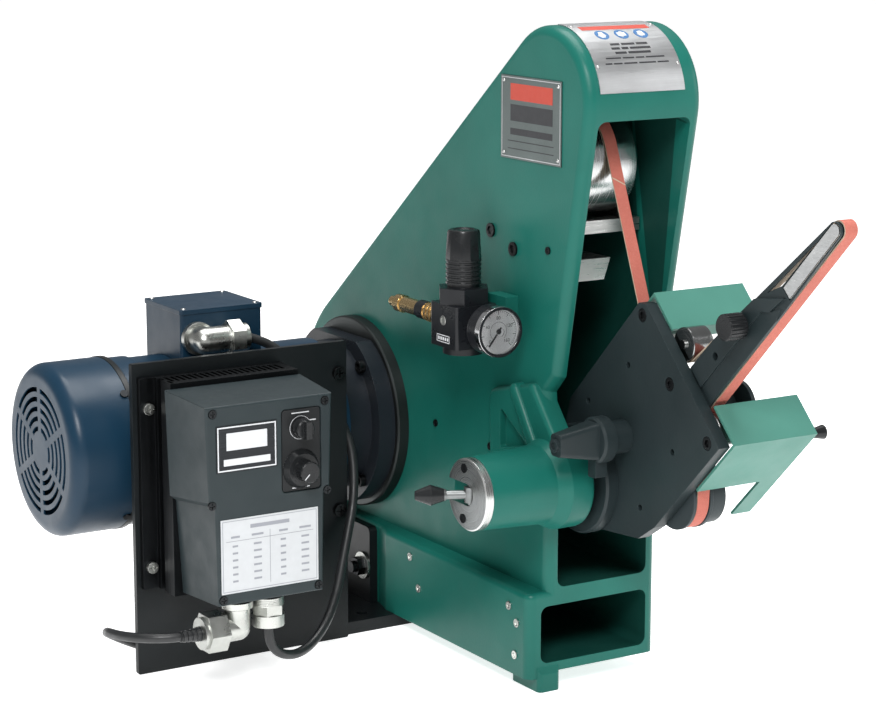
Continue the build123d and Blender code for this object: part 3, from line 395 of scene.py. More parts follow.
NODE_MATERIALS = {
    "casting": ["frame_casting", "regulator_bracket"],
    "guard": ["upper_guard", "lower_guard"],
    "black": ["base_plate", "side_bracket", "support_plate"],
    "head": ["head_plate", "swivel_hub", "swivel_clamp", "contact_arm"],
    "motor": ["motor_shell", "fan_cowl", "terminal_box", "terminal_box_lid"],
    "bell": ["motor_front_bell"],
    "oxide": ["casting_screws", "machine_bolts", "head_pins", "cover_screws"],
    "steel": ["air_cylinder", "tension_carrier", "rotor_shaft", "guide_roller", "lower_roller"],
    "roller": ["steel_roller"],
    "alloy": ["top_pulley"],
    "drive": ["drive_wheel"],
    "cap": ["boss_end_cap"],
    "disc": ["adapter_disc"],
    "bar": ["platen_bar"],
    "sink": ["heat_sink"],
    "cover": ["controller_cover", "cooling_fan", "lower_idler", "tip_wheel"],
    "panel": ["control_panel"],
    "knob": ["power_knob", "speed_knob", "regulator_knob", "lock_lever", "arm_knob", "guard_knob"],
    "board": ["circuit_board"],
    "copper": ["motor_stator"],
    "zinc": ["output_gland", "power_elbow", "conduit_elbow"],
    "brass": ["air_inlet_fitting"],
    "regulator": ["regulator_body", "bonnet_nut", "gauge_case"],
    "needle": ["gauge_needle"],
    "rubber": ["motor_cable", "power_cord", "cord_coil", "cord_tie", "plug"],
    "belt": ["abrasive_belt"],
    "plate": ["label_plates"],
}


MOTOR_CENTRE = (0.0, 201.5)    # (y, z) of the motor shaft
TOP_CENTRE = (-336.0, 544.5)   # (y, z) of the casting's rounded top
# outline of the casting's inside, which gets the painted shade
CAVITY_HALF = 50.4
CAVITY_FLOOR = 97
CAVITY_FOOT_R = 114.5
CAVITY_TOP_R = 56.5
MOUTH_Y = -345                 # just behind the casting's open front
THROAT_BACK = -100
THROAT_TOP = 300
POCKET = (-68.4, 50.9, 26.3, 81.2)


def dress_nodes():
    for key, names in NODE_MATERIALS.items():
        for name in names:
            slots = NODES[name].data.materials
            slots.clear()
            slots.append(MAT[key])


def repaint(node, key, wanted):
    """Gives the faces of a node whose centre, in millimetres, is wanted another finish."""
    mesh = NODES[node].data
    mesh.materials.append(MAT[key])
    index = len(mesh.materials) - 1
    for face in mesh.polygons:
        if wanted(face.center / MM):
            face.material_index = index


def painted_shade_in_casting(p):
    """Walls of the belt's cavity and of the base pocket, where the casting paint is darkened as painted
    shade.
    """
    foot, top, place = Vector(MOTOR_CENTRE), Vector(TOP_CENTRE), Vector((p.y, p.z))
    along = max(0, min(1, (place - foot).dot(top - foot) / (top - foot).length_squared))
    reach = (place - foot.lerp(top, along)).length
    between_walls = abs(p.x) < CAVITY_HALF and p.z > CAVITY_FLOOR
    cavity = between_walls and reach < CAVITY_FOOT_R + (CAVITY_TOP_R - CAVITY_FOOT_R) * along
    throat = between_walls and p.z < THROAT_TOP and MOUTH_Y < p.y < THROAT_BACK
    left, right, floor, roof = POCKET
    pocket = left < p.x < right and MOUTH_Y < p.y and floor < p.z < roof
    return cavity or throat or pocket


dress_nodes()
repaint("machine_bolts", "zinc", lambda p: -87 < p.x < -84 or (p.x < -345 and p.y < -112))
repaint("lock_lever", "shank", lambda p: math.hypot(p.x + 148, p.y + 351) < 24)
repaint("air_inlet_fitting", "regulator", lambda p: -196 < p.y < -184)
repaint("label_plates", "greyplate", lambda p: -90 < p.x < -60)
repaint("label_plates", "nameplate", lambda p: p.x < -200 and p.z > 200)
repaint("label_plates", "label", lambda p: p.x < -200 and p.z < 200)
repaint("casting_screws", "zinc", lambda p: p.z < 100)
# painted shade: the darker casting paint goes on the walls inside the cavity, throat and pocket
repaint("frame_casting", "inside", painted_shade_in_casting)
repaint("head_pins", "steel", lambda p: p.x > -10)
repaint("tension_carrier", "bell", lambda p: p.z < 421)


# ---------------------------------------------------------------- mesh tools


def add_piece(name, verts, faces, key, body, smooth=40):
    """Mesh piece from points in millimetres, smooth below the given angle, riding on a body."""
    mesh = bpy.data.meshes.new(name)
    mesh.from_pydata([Vector(v) * MM for v in verts], [], faces)
    edit = bmesh.new()
    edit.from_mesh(mesh)
    bmesh.ops.remove_doubles(edit, verts=edit.verts, dist=1e-6)
    bmesh.ops.recalc_face_normals(edit, faces=edit.faces)
    edit.to_mesh(mesh)
    edit.free()
    mesh.materials.append(MAT[key])
    mesh.shade_smooth()
    mesh.set_sharp_from_angle(angle=math.radians(smooth))
    piece = bpy.data.objects.new(name, mesh)
    bpy.context.scene.collection.objects.link(piece)
    if body:
        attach(piece, body)
    return piece


RELIEF_ROOT = 0.05             # how far a raised shape reaches into the surface under it


class Relief:
    """Thin raised shapes on a surface, outlined in its own axes in millimetres, u right and v up."""

    def __init__(self, place, height=0.12):
        self.place, self.height = place, height
        self.verts, self.faces = [], []

    def outline(self, points):
        start, count = len(self.verts), len(points)
        for level in (-RELIEF_ROOT, self.height):
            self.verts += [self.place(u, v, level) for u, v in points]
        self.faces.append([start + count + i for i in range(count)])
        for i in range(count):
            j = (i + 1) % count
            self.faces.append([start + i, start + j, start + count + j, start + count + i])

    def bar(self, u0, v0, u1, v1, steps=1):
        for i in range(steps):
            low = v0 + (v1 - v0) * i / steps
            high = v0 + (v1 - v0) * (i + 1) / steps
            self.outline([(u0, low), (u1, low), (u1, high), (u0, high)])

    def border(self, u0, v0, u1, v1, width):
        self.bar(u0, v0, u1, v0 + width)
        self.bar(u0, v1 - width, u1, v1)
        self.bar(u0, v0 + width, u0 + width, v1 - width)
        self.bar(u1 - width, v0 + width, u1, v1 - width)

    def tick(self, u, v, angle, inner, outer, width):
        """Radial mark about (u, v), its angle clockwise from straight up."""
        a = math.radians(angle)
        out = (math.sin(a), math.cos(a))
        side = (math.cos(a) * width / 2, -math.sin(a) * width / 2)
        near = (u + out[0] * inner, v + out[1] * inner)
        far = (u + out[0] * outer, v + out[1] * outer)
        self.outline([(near[0] - side[0], near[1] - side[1]), (far[0] - side[0], far[1] - side[1]),
                      (far[0] + side[0], far[1] + side[1]), (near[0] + side[0], near[1] + side[1])])

    def arc(self, u, v, inner, outer, start=0, end=360, steps=48):
        for i in range(steps):
            a = math.radians(start + (end - start) * i / steps)
            b = math.radians(start + (end - start) * (i + 1) / steps)
            corners = [(a, inner), (b, inner), (b, outer), (a, outer)]
            self.outline([(u + r * math.sin(t), v + r * math.cos(t)) for t, r in corners])

    def disc(self, u, v, radius, steps=24):
        turns = [2 * math.pi * i / steps for i in range(steps)]
        self.outline([(u + radius * math.sin(t), v + radius * math.cos(t)) for t in turns])

    def digits(self, text, u, v, size, key, body, name):
        """Plain figures such as those on a dial, centred on (u, v)."""
        data = bpy.data.curves.new(name, "FONT")
        data.body, data.size, data.extrude = text, size * MM, self.height * MM
        data.align_x, data.align_y = "CENTER", "CENTER"
        data.resolution_u = 3
        maker = bpy.data.objects.new(name, data)
        bpy.context.scene.collection.objects.link(maker)
        shape = bpy.data.meshes.new_from_object(maker)
        bpy.data.objects.remove(maker)
        verts = [self.place(u + p.co.x / MM, v + p.co.y / MM, p.co.z / MM) for p in shape.vertices]
        add_piece(name, verts, [list(f.vertices) for f in shape.polygons], key, body)

    def finish(self, name, key, body):
        return add_piece(name, self.verts, self.faces, key, body, smooth=20)


def lathe(name, profile, centre, axis, key, body, steps=64):
    """Turned piece: profile is (distance along the axis, radius) pairs, from one end to the other."""
    forward = Vector(axis)
    side = forward.orthogonal().normalized()
    up = forward.cross(side)
    verts, faces = [], []
    for along, radius in profile:
        for i in range(steps):
            a = 2 * math.pi * i / steps
            out = side * math.cos(a) + up * math.sin(a)
            verts.append(Vector(centre) + forward * along + out * radius)
    for row in range(len(profile) - 1):
        for i in range(steps):
            j = (i + 1) % steps
            faces.append([row * steps + i, row * steps + j, (row + 1) * steps + j, (row + 1) * steps + i])
    faces.append(list(range(steps)))
    faces.append([(len(profile) - 1) * steps + i for i in range(steps)])
    return add_piece(name, verts, faces, key, body, smooth=35)


def facing_front(y):
    """Surface square to Y at y, seen from the front."""
    return lambda u, v, h: (u, y - h, v)


def facing_left(x):
    """Surface square to X at x, seen from the left: u runs towards the front."""
    return lambda u, v, h: (x - h, -u, v)


# ---------------------------------------------------------------- belt

BELT_WIDTH = 12.7
BELT_THICK = 1.2
BELT_GAP = 0.3
IDLER_RIM = 2.2           # the lower idler's rims stand this far above the belt's seat
BELT_ROUTE = [("drive_wheel", 1), ("top_pulley", 1), ("guide_roller", -1), ("steel_roller", -1),
              ("tip_wheel", 1), ("lower_roller", -1), ("lower_idler", 1)]


def wheel_circles():
    """(forward, up, radius, side) of the cloth side of the belt round each wheel, in millimetres."""
    circles = []
    for name, side in BELT_ROUTE:
        low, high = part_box(name)
        middle = (low + high) / 2 / MM
        radius = (high.z - low.z) / 2 / MM - (IDLER_RIM if name == "lower_idler" else 0)
        radius += BELT_GAP if side > 0 else BELT_GAP + BELT_THICK
        circles.append((-middle.y, middle.z, radius, side))
    return circles


def tangent(a, b):
    """Straight from circle a to circle b, and its heading."""
    dx, dy = b[0] - a[0], b[1] - a[1]
    heading = math.atan2(dy, dx) - math.asin((a[3] * a[2] - b[3] * b[2]) / math.hypot(dx, dy))
    left = (-math.sin(heading), math.cos(heading))
    return tuple((c[0] + c[3] * c[2] * left[0], c[1] + c[3] * c[2] * left[1]) for c in (a, b)) + (heading,)


def belt_ribbon(name, path, body):
    """Length of belt along (forward, up, heading) stations: grit outside, cloth inside and at its edges."""
    half, verts, faces = BELT_WIDTH / 2, [], []
    for forward, up, heading in path:
        out = (-math.sin(heading) * BELT_THICK, math.cos(heading) * BELT_THICK)
        for x, lift in ((-half, 0), (half, 0), (half, 1), (-half, 1)):
            verts.append((x, -(forward + out[0] * lift), up + out[1] * lift))
    for i in range(len(path) - 1):
        for j in range(4):
            k = (j + 1) % 4
            faces.append([4 * i + j, 4 * i + k, 4 * i + 4 + k, 4 * i + 4 + j])
    faces += [[0, 1, 2, 3], [4 * len(path) - 4 + j for j in range(4)]]
    piece = add_piece(name, verts, faces, "belt", body, smooth=50)
    piece.data.materials.append(MAT["cloth"])
    stations = [(Vector((0, -f, u)) * MM, Vector((0, math.sin(h), math.cos(h)))) for f, u, h in path]
    for face in piece.data.polygons:
        near = min(stations, key=lambda s: (s[0] - Vector((0, face.center.y, face.center.z))).length)
        if face.normal.dot(near[1]) < 0.5:
            face.material_index = 1
    return piece


def straight(start, end, heading, first=0.0, last=1.0, steps=10):
    path = []
    for i in range(steps + 1):
        t = first + (last - first) * i / steps
        path.append((start[0] + (end[0] - start[0]) * t, start[1] + (end[1] - start[1]) * t, heading))
    return path


def wrap(circle, arrive, leave):
    """Stations round a wheel between two headings."""
    turn = (leave - arrive + math.pi) % (2 * math.pi) - math.pi
    if circle[3] * turn > 0:
        turn -= circle[3] * 2 * math.pi
    steps = max(4, int(abs(math.degrees(turn)) / 5))
    path = []
    for i in range(steps + 1):
        heading = arrive + turn * i / steps
        path.append((circle[0] - circle[3] * circle[2] * math.sin(heading),
                     circle[1] + circle[3] * circle[2] * math.cos(heading), heading))
    return path


def make_belt():
    """The closed belt in pieces: one on each body, and the runs between two bodies, which ride on no body."""
    circles = wheel_circles()
    count = len(circles)
    spans = [tangent(circles[i], circles[(i + 1) % count]) for i in range(count)]
    turns = [wrap(circles[i], spans[i - 1][2], spans[i][2]) for i in range(count)]
    pieces = [belt_ribbon("belt_on_drive_wheel", turns[0], "frame"),
              belt_ribbon("belt_on_top_pulley", turns[1], "tensioner")]
    head = list(turns[2])
    for i in range(3, count):
        head += straight(*spans[i - 1])[1:-1] + turns[i]
    pieces.append(belt_ribbon("belt_on_head", head, "head"))

    rear = belt_ribbon("belt_rear_run", straight(*spans[0]), None)
    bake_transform(rear)
    start, end, heading = spans[1]
    upper = belt_ribbon("belt_front_run_upper", straight(start, end, heading, 0, 0.5), None)
    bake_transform(upper)
    lower = belt_ribbon("belt_front_run_lower", straight(start, end, heading, 0.5, 1), None)
    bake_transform(lower)
    back = belt_ribbon("belt_return_run", straight(*spans[-1]), None)
    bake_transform(back)
    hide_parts("abrasive_belt")


make_belt()


# ---------------------------------------------------------------- mains cord and motor cable

CORD_DIAMETER = 9.0
MOTOR_CABLE = [(-275, -200, 60), (-275, -200, 44), (-263, -197, 28), (-240, -190, 21), (-216, -179, 26),
               (-194, -167, 41), (-176, -153, 62), (-162, -139, 86), (-149, -127, 111), (-137, -117, 137),
               (-130, -107, 164), (-128, -98, 190), (-134, -91, 214), (-146, -84, 236), (-162, -77, 257),
               (-178, -70, 276), (-193, -63.5, 290.5), (-207.5, -60, 298.8), (-222, -58, 303.5)]
CORD_ROUTE = [(-345, -200, 62), (-365.5, -200, 62), (-385, -192, 62), (-400, -176.5, 61),
              (-407.5, -156, 59), (-407.5, -134, 56), (-399.5, -113.5, 49), (-383.5, -98, 38),
              (-363.5, -88.5, 26), (-340.5, -82.5, 15), (-313, -79.3, 7.5), (-286, -78.5, 4.6)]
COIL_CENTRE = (-254.0, -20.0)
COIL_R = 58.5
COIL_TURNS = 2.5          # turns in each layer
COIL_CLIMB = 0.25         # of a turn, from one layer to the next
COIL_STEPS = 20           # points in a turn
PLUG_REACH = 26.0         # from the end of the coil to the plug's tail


def coil_points():
    """Two layers, wound inwards on the bench and back outwards on top, ending beside the plug."""
    points = []
    total = 2 * COIL_TURNS + COIL_CLIMB
    inmost = COIL_R - CORD_DIAMETER * COIL_TURNS
    for i in range(int(total * COIL_STEPS) + 1):
        turn = i / COIL_STEPS
        angle = math.radians(-90 + 360 * turn)
        if turn <= COIL_TURNS:
            radius, lift = COIL_R - CORD_DIAMETER * turn, 0.5
        elif turn <= COIL_TURNS + COIL_CLIMB:
            radius, lift = inmost, 0.5 + (turn - COIL_TURNS) / COIL_CLIMB
        else:
            radius, lift = inmost + CORD_DIAMETER * (turn - COIL_TURNS - COIL_CLIMB), 1.5
        points.append((COIL_CENTRE[0] + radius * math.cos(angle), COIL_CENTRE[1] + radius * math.sin(angle),
                       CORD_DIAMETER * lift))
    return points


def make_cord(name, points, body, solids):
    """Round cord along a smooth curve through points in millimetres."""
    data = bpy.data.curves.new(name, "CURVE")
    data.dimensions = "3D"
    data.bevel_depth = CORD_DIAMETER / 2 * MM
    data.bevel_resolution = 5
    data.resolution_u = 8
    data.use_fill_caps = True
    spline = data.splines.new("NURBS")
    spline.points.add(len(points) - 1)
    for place, point in zip(points, spline.points):
        point.co = (*[c * MM for c in place], 1)
    spline.order_u = 3
    spline.use_endpoint_u = True
    data.materials.append(MAT["rubber"])
    cord = bpy.data.objects.new(name, data)
    bpy.context.scene.collection.objects.link(cord)
    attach(cord, body)
    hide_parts(*solids)


def ribbed_sleeve(name, start, axis, length, root, tip, body):
    """Strain relief: a taper with grooves round it that let it bend."""
    grooves, profile = 5, [(0, CORD_DIAMETER / 2), (0, root)]
    for i in range(grooves):
        t0, t1, t2 = (i + 0.55) / grooves, (i + 0.6) / grooves, (i + 0.95) / grooves
        wide, narrow = root + (tip - root) * t0, root + (tip - root) * t2 - 0.7
        profile += [(length * t0, wide), (length * t1, narrow), (length * t2, narrow)]
        if i < grooves - 1:
            profile.append((length * (t2 + 0.05 / grooves), root + (tip - root) * t2))
    profile.append((length, tip))
    profile.append((length, CORD_DIAMETER / 2))
    return lathe(name, profile, start, axis, "rubber", body)


PLUG_SECTIONS = [(0, 5.6, 5.6), (8, 6.4, 6.4), (30, 9, 9), (31, 12, 11), (38, 13, 12.2),
                 (50, 11.6, 11.2), (60, 12.8, 12.2), (67, 13, 12.3), (68, 12, 11.3)]
PLUG_FACE = 68            # from the plug's tail to the face that the blades stand on
BLADE_REACH = 18


def make_plug():
    """Moulded plug: tapered tail, waisted body, two flat blades and an earth pin."""
    low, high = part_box("plug")
    x = (low.x + high.x) / 2 / MM
    y, z = low.y / MM, 1.5 * CORD_DIAMETER
    ring, verts, faces = 32, [], []
    for along, wide, tall in PLUG_SECTIONS:
        for i in range(ring):
            a = 2 * math.pi * i / ring
            square = 1 / max(abs(math.cos(a)), abs(math.sin(a))) ** 0.45
            across, up = wide * math.cos(a) * min(square, 1.12), tall * math.sin(a) * min(square, 1.0)
            verts.append((x + across, y + along, z + up))
    for row in range(len(PLUG_SECTIONS) - 1):
        for i in range(ring):
            j = (i + 1) % ring
            faces.append([row * ring + i, row * ring + j, (row + 1) * ring + j, (row + 1) * ring + i])
    faces += [list(range(ring)), [(len(PLUG_SECTIONS) - 1) * ring + i for i in range(ring)]]
    body = add_piece("plug_body", verts, faces, "rubber", "frame")
    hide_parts("plug")
    blades = Relief(lambda u, v, h: (u, y + PLUG_FACE + h, v), BLADE_REACH)
    for side in (-6.25, 6.25):
        blades.bar(x + side - 0.75, z - 3.1, x + side + 0.75, z + 3.1)
    pins = blades.finish("plug_blades", "brass", "frame")
    earth = lathe("plug_earth_pin", [(0, 2.3), (BLADE_REACH, 2.3), (BLADE_REACH + 2.5, 1.2)],
                  (x, y + PLUG_FACE, z - 8), (0, 1, 0), "brass", "frame", 24)
    return [body, pins, earth]


def make_cords():
    plug_pieces = make_plug()
    coil = coil_points()
    last = coil[-1]
    tail = [(last[0], last[1] + PLUG_REACH * t, last[2]) for t in (0.4, 0.8, 1.1)]
    nut_face = CORD_ROUTE[0]
    sleeve = ribbed_sleeve("mains_strain_relief", (nut_face[0] + 2, nut_face[1], nut_face[2]), (-1, 0, 0),
                           22, 7.2, 5.0, "frame")
    make_cord("mains_cord", CORD_ROUTE + coil + tail, "frame",
              ["power_cord", "cord_coil"])
    make_cord("motor_lead", MOTOR_CABLE, "frame",
              ["motor_cable"])


make_cords()


# ---------------------------------------------------------------- gauge

DIAL_SWEEP = 270          # degrees, half to each side of straight up
DIAL_MARKS = 40
MARK_VALUE = 4            # what one mark of the dial stands for


def make_gauge():
    """Dial with marks and figures, chromed bezel and domed lens round the needle."""
    low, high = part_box("gauge_case")
    x, z = (low.x + high.x) / 2 / MM, (low.z + high.z) / 2 / MM
    front = low.y / MM
    dial = Relief(facing_front(front + 4.8), 0.2)
    dial.disc(x, z, 20.3, 64)
    dial.finish("gauge_dial", "dial", "frame")
    marks = Relief(facing_front(front + 4.57), 0.05)
    first = -DIAL_SWEEP / 2
    for i in range(DIAL_MARKS + 1):
        angle = first + DIAL_SWEEP * i / DIAL_MARKS
        major = i % 5 == 0
        marks.tick(x, z, angle, 15.6 if major else 17.2, 18.8, 0.55 if major else 0.25)
    marks.arc(x, z, 18.8, 19.1, first, -first, 60)
    marks.arc(x, z, 8.6, 8.9, first, -first, 40)
    marks.finish("gauge_scale", "ink", "frame")
    for i in range(0, DIAL_MARKS + 1, 10):
        a = math.radians(first + DIAL_SWEEP * i / DIAL_MARKS)
        marks.digits(str(i * MARK_VALUE), x + 12.4 * math.sin(a), z + 12.4 * math.cos(a), 4.6, "ink",
                     "frame", "gauge_number_%d" % i)
    bezel = [(5.5, 20.4), (0.9, 20.4), (0.1, 20.9), (0, 21.8), (0.5, 23.3), (3, 23.6), (7, 23.6), (7.6, 22.9)]
    lathe("gauge_bezel", bezel, (x, front, z), (0, 1, 0), "chrome", "frame", 96)
    lens = [(2.4, 20.3), (1.6, 20.3), (1.1, 18), (0.7, 12), (0.5, 4), (1.3, 4), (1.5, 12), (1.9, 18)]
    lathe("gauge_lens", lens, (x, front, z), (0, 1, 0), "glass", "frame", 64)


# ---------------------------------------------------------------- controller face

COVER_FACE = -222.0       # Y of the cover's front
BADGE = (-336, 216, -275, 259)          # left, bottom, right and top
CHART = (-333, 102.5, -233.5, 172)
SPEED_DIAL = (-250, 210)
POWER_DIAL = (-250, 248.5)


def make_panel_marks():
    """Rings and marks round the two knobs, and the pointer on the speed knob."""
    panel = Relief(facing_front(COVER_FACE + 0.8), 0.15)
    for i in range(11):
        panel.tick(*SPEED_DIAL, -150 + 30 * i, 14.6, 17.6 if i % 5 == 0 else 16.4, 0.6)
    panel.arc(*SPEED_DIAL, 17.9, 18.3, -150, 150, 60)
    panel.arc(*POWER_DIAL, 10.6, 11.0, 0, 360, 48)
    panel.bar(-241.5, 254, -234, 255)
    panel.bar(-259, 262, -241, 263)
    panel.bar(-259, 192, -241, 193)
    panel.finish("panel_marks", "white", "frame")
    pointer = Relief(facing_front(COVER_FACE - 19), 0.15)
    pointer.tick(*SPEED_DIAL, -135, 2, 8.8, 0.9)
    pointer.finish("speed_pointer", "white", "speed_knob")


def make_badge():
    badge = Relief(facing_front(COVER_FACE - 0.8), 0.15)
    u0, v0, u1, v1 = BADGE
    badge.border(u0 + 1, v0 + 1, u1 - 1, v1 - 1, 1.2)
    badge.bar(u0 + 10, v0 + 20, u1 - 10, v1 - 7)
    badge.bar(u0 + 7, v0 + 6, u1 - 7, v0 + 12)
    badge.finish("badge_lines", "white", "frame")


def make_chart():
    """Table with plain bars for its words: a title and four columns of six rows."""
    chart = Relief(facing_front(COVER_FACE - 0.6), 0.12)
    u0, v0, u1, v1 = CHART
    middle = (u0 + u1) / 2
    chart.border(u0 + 1.5, v0 + 1.5, u1 - 1.5, v1 - 1.5, 0.6)
    chart.bar(middle - 20, v1 - 10.5, middle + 20, v1 - 7)
    chart.bar(u0 + 5, v1 - 21, u1 - 5, v1 - 20.5)
    chart.bar(middle - 0.25, v0 + 5, middle + 0.25, v1 - 14)
    for column, wide in ((10, 9), (31, 12), (59, 9), (80, 12)):
        chart.bar(u0 + column, v1 - 18, u0 + column + wide, v1 - 16)
        for row in range(6):
            level = v1 - 26.5 - 6.6 * row
            chart.bar(u0 + column + (1.5 if wide == 9 else 2), level, u0 + column + wide - 2, level + 1.9)
    chart.finish("chart_lines", "grey_ink", "frame")


# ---------------------------------------------------------------- plates on the casting

def rivet(name, place, axis, radius):
    profile = [(0, radius), (0.35, radius * 0.96), (0.9, radius * 0.72), (1.2, radius * 0.3)]
    lathe(name, profile, place, axis, "steel", "frame", 20)


SIDE_FACE = -63.0         # X of the side plate's face
SIDE_PLATE = (266, 489.5, 364, 565)     # left, bottom, right and top


def make_side_plate():
    """Name plate with no name: border, a red and a dark band and plain bars."""
    left, low, right, high = SIDE_PLATE
    face = facing_left(SIDE_FACE)
    lines = Relief(face, 0.15)
    lines.border(left + 1.5, low + 1.5, right - 1.5, high - 1.5, 0.8)
    lines.finish("side_plate_border", "plate", "frame")
    red = Relief(face, 0.15)
    red.bar(left + 16, high - 22, right - 14, high - 7)
    red.finish("side_plate_red", "red", "frame")
    dark = Relief(face, 0.15)
    dark.bar(left + 16, high - 41, right - 14, high - 26)
    dark.bar(left + 16, low + 22, right - 14, low + 28)
    dark.bar(left + 12, low + 16, right - 12, low + 16.8)
    dark.bar(left + 12, low + 9, right - 12, low + 9.8)
    dark.finish("side_plate_dark", "ink", "frame")
    for u in (left + 5, right - 5):
        for v in (low + 5, high - 5):
            rivet("side_plate_rivet_%d_%d" % (u, v), (SIDE_FACE, -u, v), (-1, 0, 0), 1.8)


TOP_SKIN = 68.9           # radius of the top plate's skin
TOP_TILT = 52             # degrees from straight ahead to the top plate's middle


TOP_ROWS = [(-1.5, 2.4, (10, 14, 12)), (-6.5, 2.4, (9, 7, 22)), (-11.5, 2.4, (12, 24)),
            (-17.5, 1.3, (16, 12, 9, 20)), (-23, 1.3, (7, 9, 14, 18, 12))]


def over_the_top(u, v, h):
    """Surface of the top plate: u along X, v millimetres round the curve from its middle, upwards."""
    angle = math.radians(TOP_TILT) + v / TOP_SKIN
    radius = TOP_SKIN + h
    return (u, TOP_CENTRE[0] - radius * math.cos(angle), TOP_CENTRE[1] + radius * math.sin(angle))


def make_top_plate():
    """Generic safety plate: red header, three blue roundels and rows of plain bars."""
    middle = -3.5
    header = Relief(over_the_top, 0.12)
    header.bar(-40, 20, 33, 28, 3)
    header.finish("top_plate_header", "red", "frame")
    roundels = Relief(over_the_top, 0.12)
    for offset in (-21, 0, 21):
        roundels.disc(middle + offset, 11, 7, 32)
    roundels.finish("top_plate_roundels", "blue", "frame")
    marks = Relief(over_the_top, 0.2)
    for offset, wide, tall in ((-21, 2.2, 4.2), (0, 4.4, 2.6), (21, 2.8, 3.4)):
        marks.bar(middle + offset - wide, 11 - tall, middle + offset + wide, 11 + tall)
    marks.finish("top_plate_marks", "white", "frame")
    bars = Relief(over_the_top, 0.12)
    for level, tall, words in TOP_ROWS:
        u = middle - (sum(words) + 2 * len(words) - 2) / 2
        for word in words:
            bars.bar(u, level - tall, u + word, level)
            u += word + 2
    bars.finish("top_plate_lines", "ink", "frame")
    for u in (-46.5, 39.5):
        for v in (28, -26):
            place = over_the_top(u, v, 0)
            out = Vector((0, place[1] - TOP_CENTRE[0], place[2] - TOP_CENTRE[1])).normalized()
            rivet("top_plate_rivet_%d_%d" % (u + 60, v + 60), place, tuple(out), 1.5)


# ---------------------------------------------------------------- small fittings

def make_regulator_details():
    """Plain label and a plug screw on the regulator's left side."""
    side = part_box("regulator_body")[0].x / MM
    marks = Relief(facing_left(side), 0.1)
    marks.border(247, 320.5, 269, 327.5, 0.7)
    for i in range(5):
        marks.bar(249.5 + i * 3.8, 322.5, 252 + i * 3.8, 325.5)
    marks.finish("regulator_bars", "white", "frame")
    screw = [(0, 4.6), (0.5, 4.4), (0.5, 3.0), (0.2, 2.8), (0.2, 1.0)]
    lathe("regulator_plug", screw, (side, -258, 341), (-1, 0, 0), "zinc", "frame", 32)


KNOB_FOOT = 374.0         # the knob's skirt stands this high; its stem runs on down inside
SLEEVE_R = 15.3           # bore of the skirt, round the sleeve below it
SKIRT = 22.5              # from the foot to the grip, clear of the sleeve's top


def make_regulator_knob():
    """Tapered ten-sided grip over a hollow skirt with grooves round it."""
    low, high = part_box("regulator_knob")
    centre = ((low.x + high.x) / 2 / MM, (low.y + high.y) / 2 / MM, KNOB_FOOT)
    radius, tall = (high.x - low.x) / 2 / MM, high.z / MM - KNOB_FOOT
    wide, narrow = radius * 0.97, radius * 0.92
    skirt = [(SKIRT - 1, SLEEVE_R), (0, SLEEVE_R), (0, wide)]
    for i in range(5):
        level = SKIRT * (i + 0.5) / 5.5
        skirt += [(level, wide), (level + 0.6, narrow), (level + 1.8, narrow), (level + 2.4, wide)]
    skirt.append((SKIRT, wide))
    body = lathe("regulator_knob_skirt", skirt, centre, (0, 0, 1), "knob", "regulator_knob")
    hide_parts("regulator_knob")
    grip = [(SKIRT - 0.1, wide), (SKIRT + 1.5, wide), (tall - 3, radius * 0.89), (tall - 1, radius * 0.84),
            (tall - 0.3, radius * 0.74), (tall - 0.3, radius * 0.6), (tall - 1.3, radius * 0.55)]
    lathe("regulator_knob_grip", grip, centre, (0, 0, 1), "knob", "regulator_knob", 10)


THREAD_TOP = 86.5         # under the cover
THREAD_LENGTH = 6
THREAD_TURNS = 4


def make_gland_threads():
    """Threaded necks between the cover and the two cord fittings, and the lead's rubber grips."""
    for name, x, radius in (("gland_thread", -275, 15.3), ("elbow_thread", -307, 13.4)):
        profile = [(0, radius - 1)]
        for i in range(THREAD_TURNS):
            profile.append((THREAD_LENGTH * (i + 0.25) / THREAD_TURNS, radius))
            profile.append((THREAD_LENGTH * (i + 0.75) / THREAD_TURNS, radius - 0.9))
        lathe(name, profile, (x, -200, THREAD_TOP), (0, 0, -1), "zinc", "frame", 64)
    grip = [(0, 8.6), (1.2, 8.4), (3.4, 6.4), (4.2, 5.4), (4.2, 4.5)]
    lathe("gland_grip", grip, (-275, -200, 60.5), (0, 0, -1), "rubber", "frame", 48)
    lathe("elbow_grip", grip, (-222.5, -58, 303.5), (1, 0, 0), "rubber", "frame", 48)


def make_motor_details():
    """Rim of the fan cowl and the terminal box's lid screws."""
    low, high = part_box("fan_cowl")
    y, z = (low.y + high.y) / 2 / MM, (low.z + high.z) / 2 / MM
    rim = (high.x - low.x) / MM
    lathe("cowl_rim", [(rim - 7, 84.0), (rim - 6.4, 84.6), (rim - 1.2, 84.6), (rim - 0.6, 84.0)],
          (low.x / MM, y, z), (1, 0, 0), "black", "frame", 128)
    for x in (-277, -200):
        for place in (-35, 37):
            rivet("lid_screw_%d_%d" % (-x, place + 50), (x, place, 331.5), (0, 0, 1), 2.6)


SPLICE_SLANT = 0.6
SPLICE_DOWN = 34          # along the front run from the top pulley


def make_belt_splice():
    """Slanted lap joint of the belt on its front run."""
    circles = wheel_circles()
    start, _, heading = tangent(circles[1], circles[2])
    out = (-math.sin(heading), math.cos(heading))
    run = (math.cos(heading), math.sin(heading))

    def place(u, v, h):
        slanted = v + u * SPLICE_SLANT
        forward = start[0] + run[0] * slanted + out[0] * (BELT_THICK + h)
        up = start[1] + run[1] * slanted + out[1] * (BELT_THICK + h)
        return (u, -forward, up)

    lap = Relief(place, 0.08)
    lap.bar(-BELT_WIDTH / 2, SPLICE_DOWN, BELT_WIDTH / 2, SPLICE_DOWN + 1.2)
    lap.finish("belt_splice", "cloth", "tensioner")


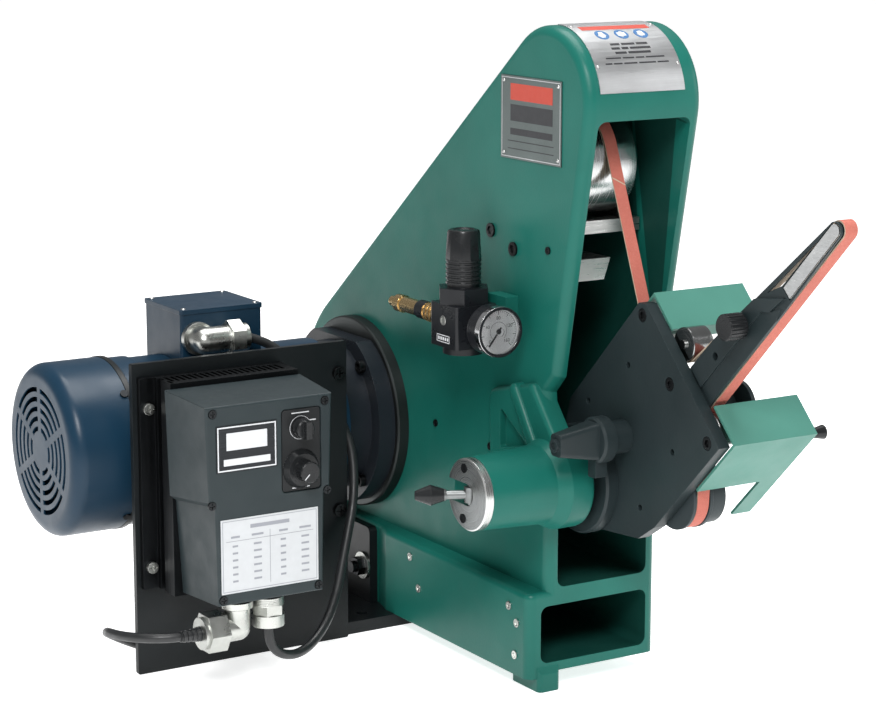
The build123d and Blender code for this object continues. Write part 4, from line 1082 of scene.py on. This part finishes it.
make_gauge()
make_panel_marks()
make_badge()
make_chart()
make_side_plate()
make_top_plate()
make_regulator_details()
make_regulator_knob()
make_gland_threads()
make_motor_details()
make_belt_splice()


# ---------------------------------------------------------------- floor and lights

FLOOR_SPAN = 60.0         # metres from the middle to each side
FLOOR_DROP = 0.0004       # keeps the floor just under the feet
FLOOR_GLOW = 0.77
WORLD_LIGHT = 0.28


def make_stage():
    mesh = bpy.data.meshes.new("floor")
    corners = [(x * FLOOR_SPAN, y * FLOOR_SPAN, 0) for x, y in ((-1, -1), (1, -1), (1, 1), (-1, 1))]
    mesh.from_pydata(corners, [], [(0, 1, 2, 3)])
    floor = bpy.data.objects.new("floor", mesh)
    bpy.context.scene.collection.objects.link(floor)
    box = Paintbox("floor paper")
    paper = box.mix(box.noise(3, 3), rgb(0.86, 0.86, 0.86), rgb(0.88, 0.88, 0.88))
    box.colour(paper)
    box.rough(0.9)
    socket_value(box.shader, {"Emission Color": rgb(1, 1, 1), "Emission Strength": FLOOR_GLOW})
    mesh.materials.append(box.material)
    floor.location.z = -FLOOR_DROP


def area_light(name, place, target, size, power):
    data = bpy.data.lights.new(name, "AREA")
    data.shape = "RECTANGLE"
    data.size, data.size_y = size
    data.energy = power
    light = bpy.data.objects.new(name, data)
    bpy.context.scene.collection.objects.link(light)
    light.location = place
    light.rotation_mode = "QUATERNION"
    light.rotation_quaternion = (Vector(target) - Vector(place)).to_track_quat("-Z", "Y")


def make_lights():
    world = bpy.data.worlds.new("studio")
    world.use_nodes = True
    socket_value(world.node_tree.nodes["Background"], {"Color": (1, 1, 1, 1), "Strength": WORLD_LIGHT})
    bpy.context.scene.world = world
    middle = (0, -0.25, 0.3)
    area_light("key", (-1.7, -2.4, 2.5), middle, (1.1, 1.1), 100)
    area_light("top", (0.1, 0.1, 2.6), middle, (1.6, 1.6), 70)
    area_light("right", (2.4, -1.8, 1.2), middle, (1.0, 1.6), 26)
    bpy.context.scene.view_settings.view_transform = "Standard"


make_stage()
make_lights()
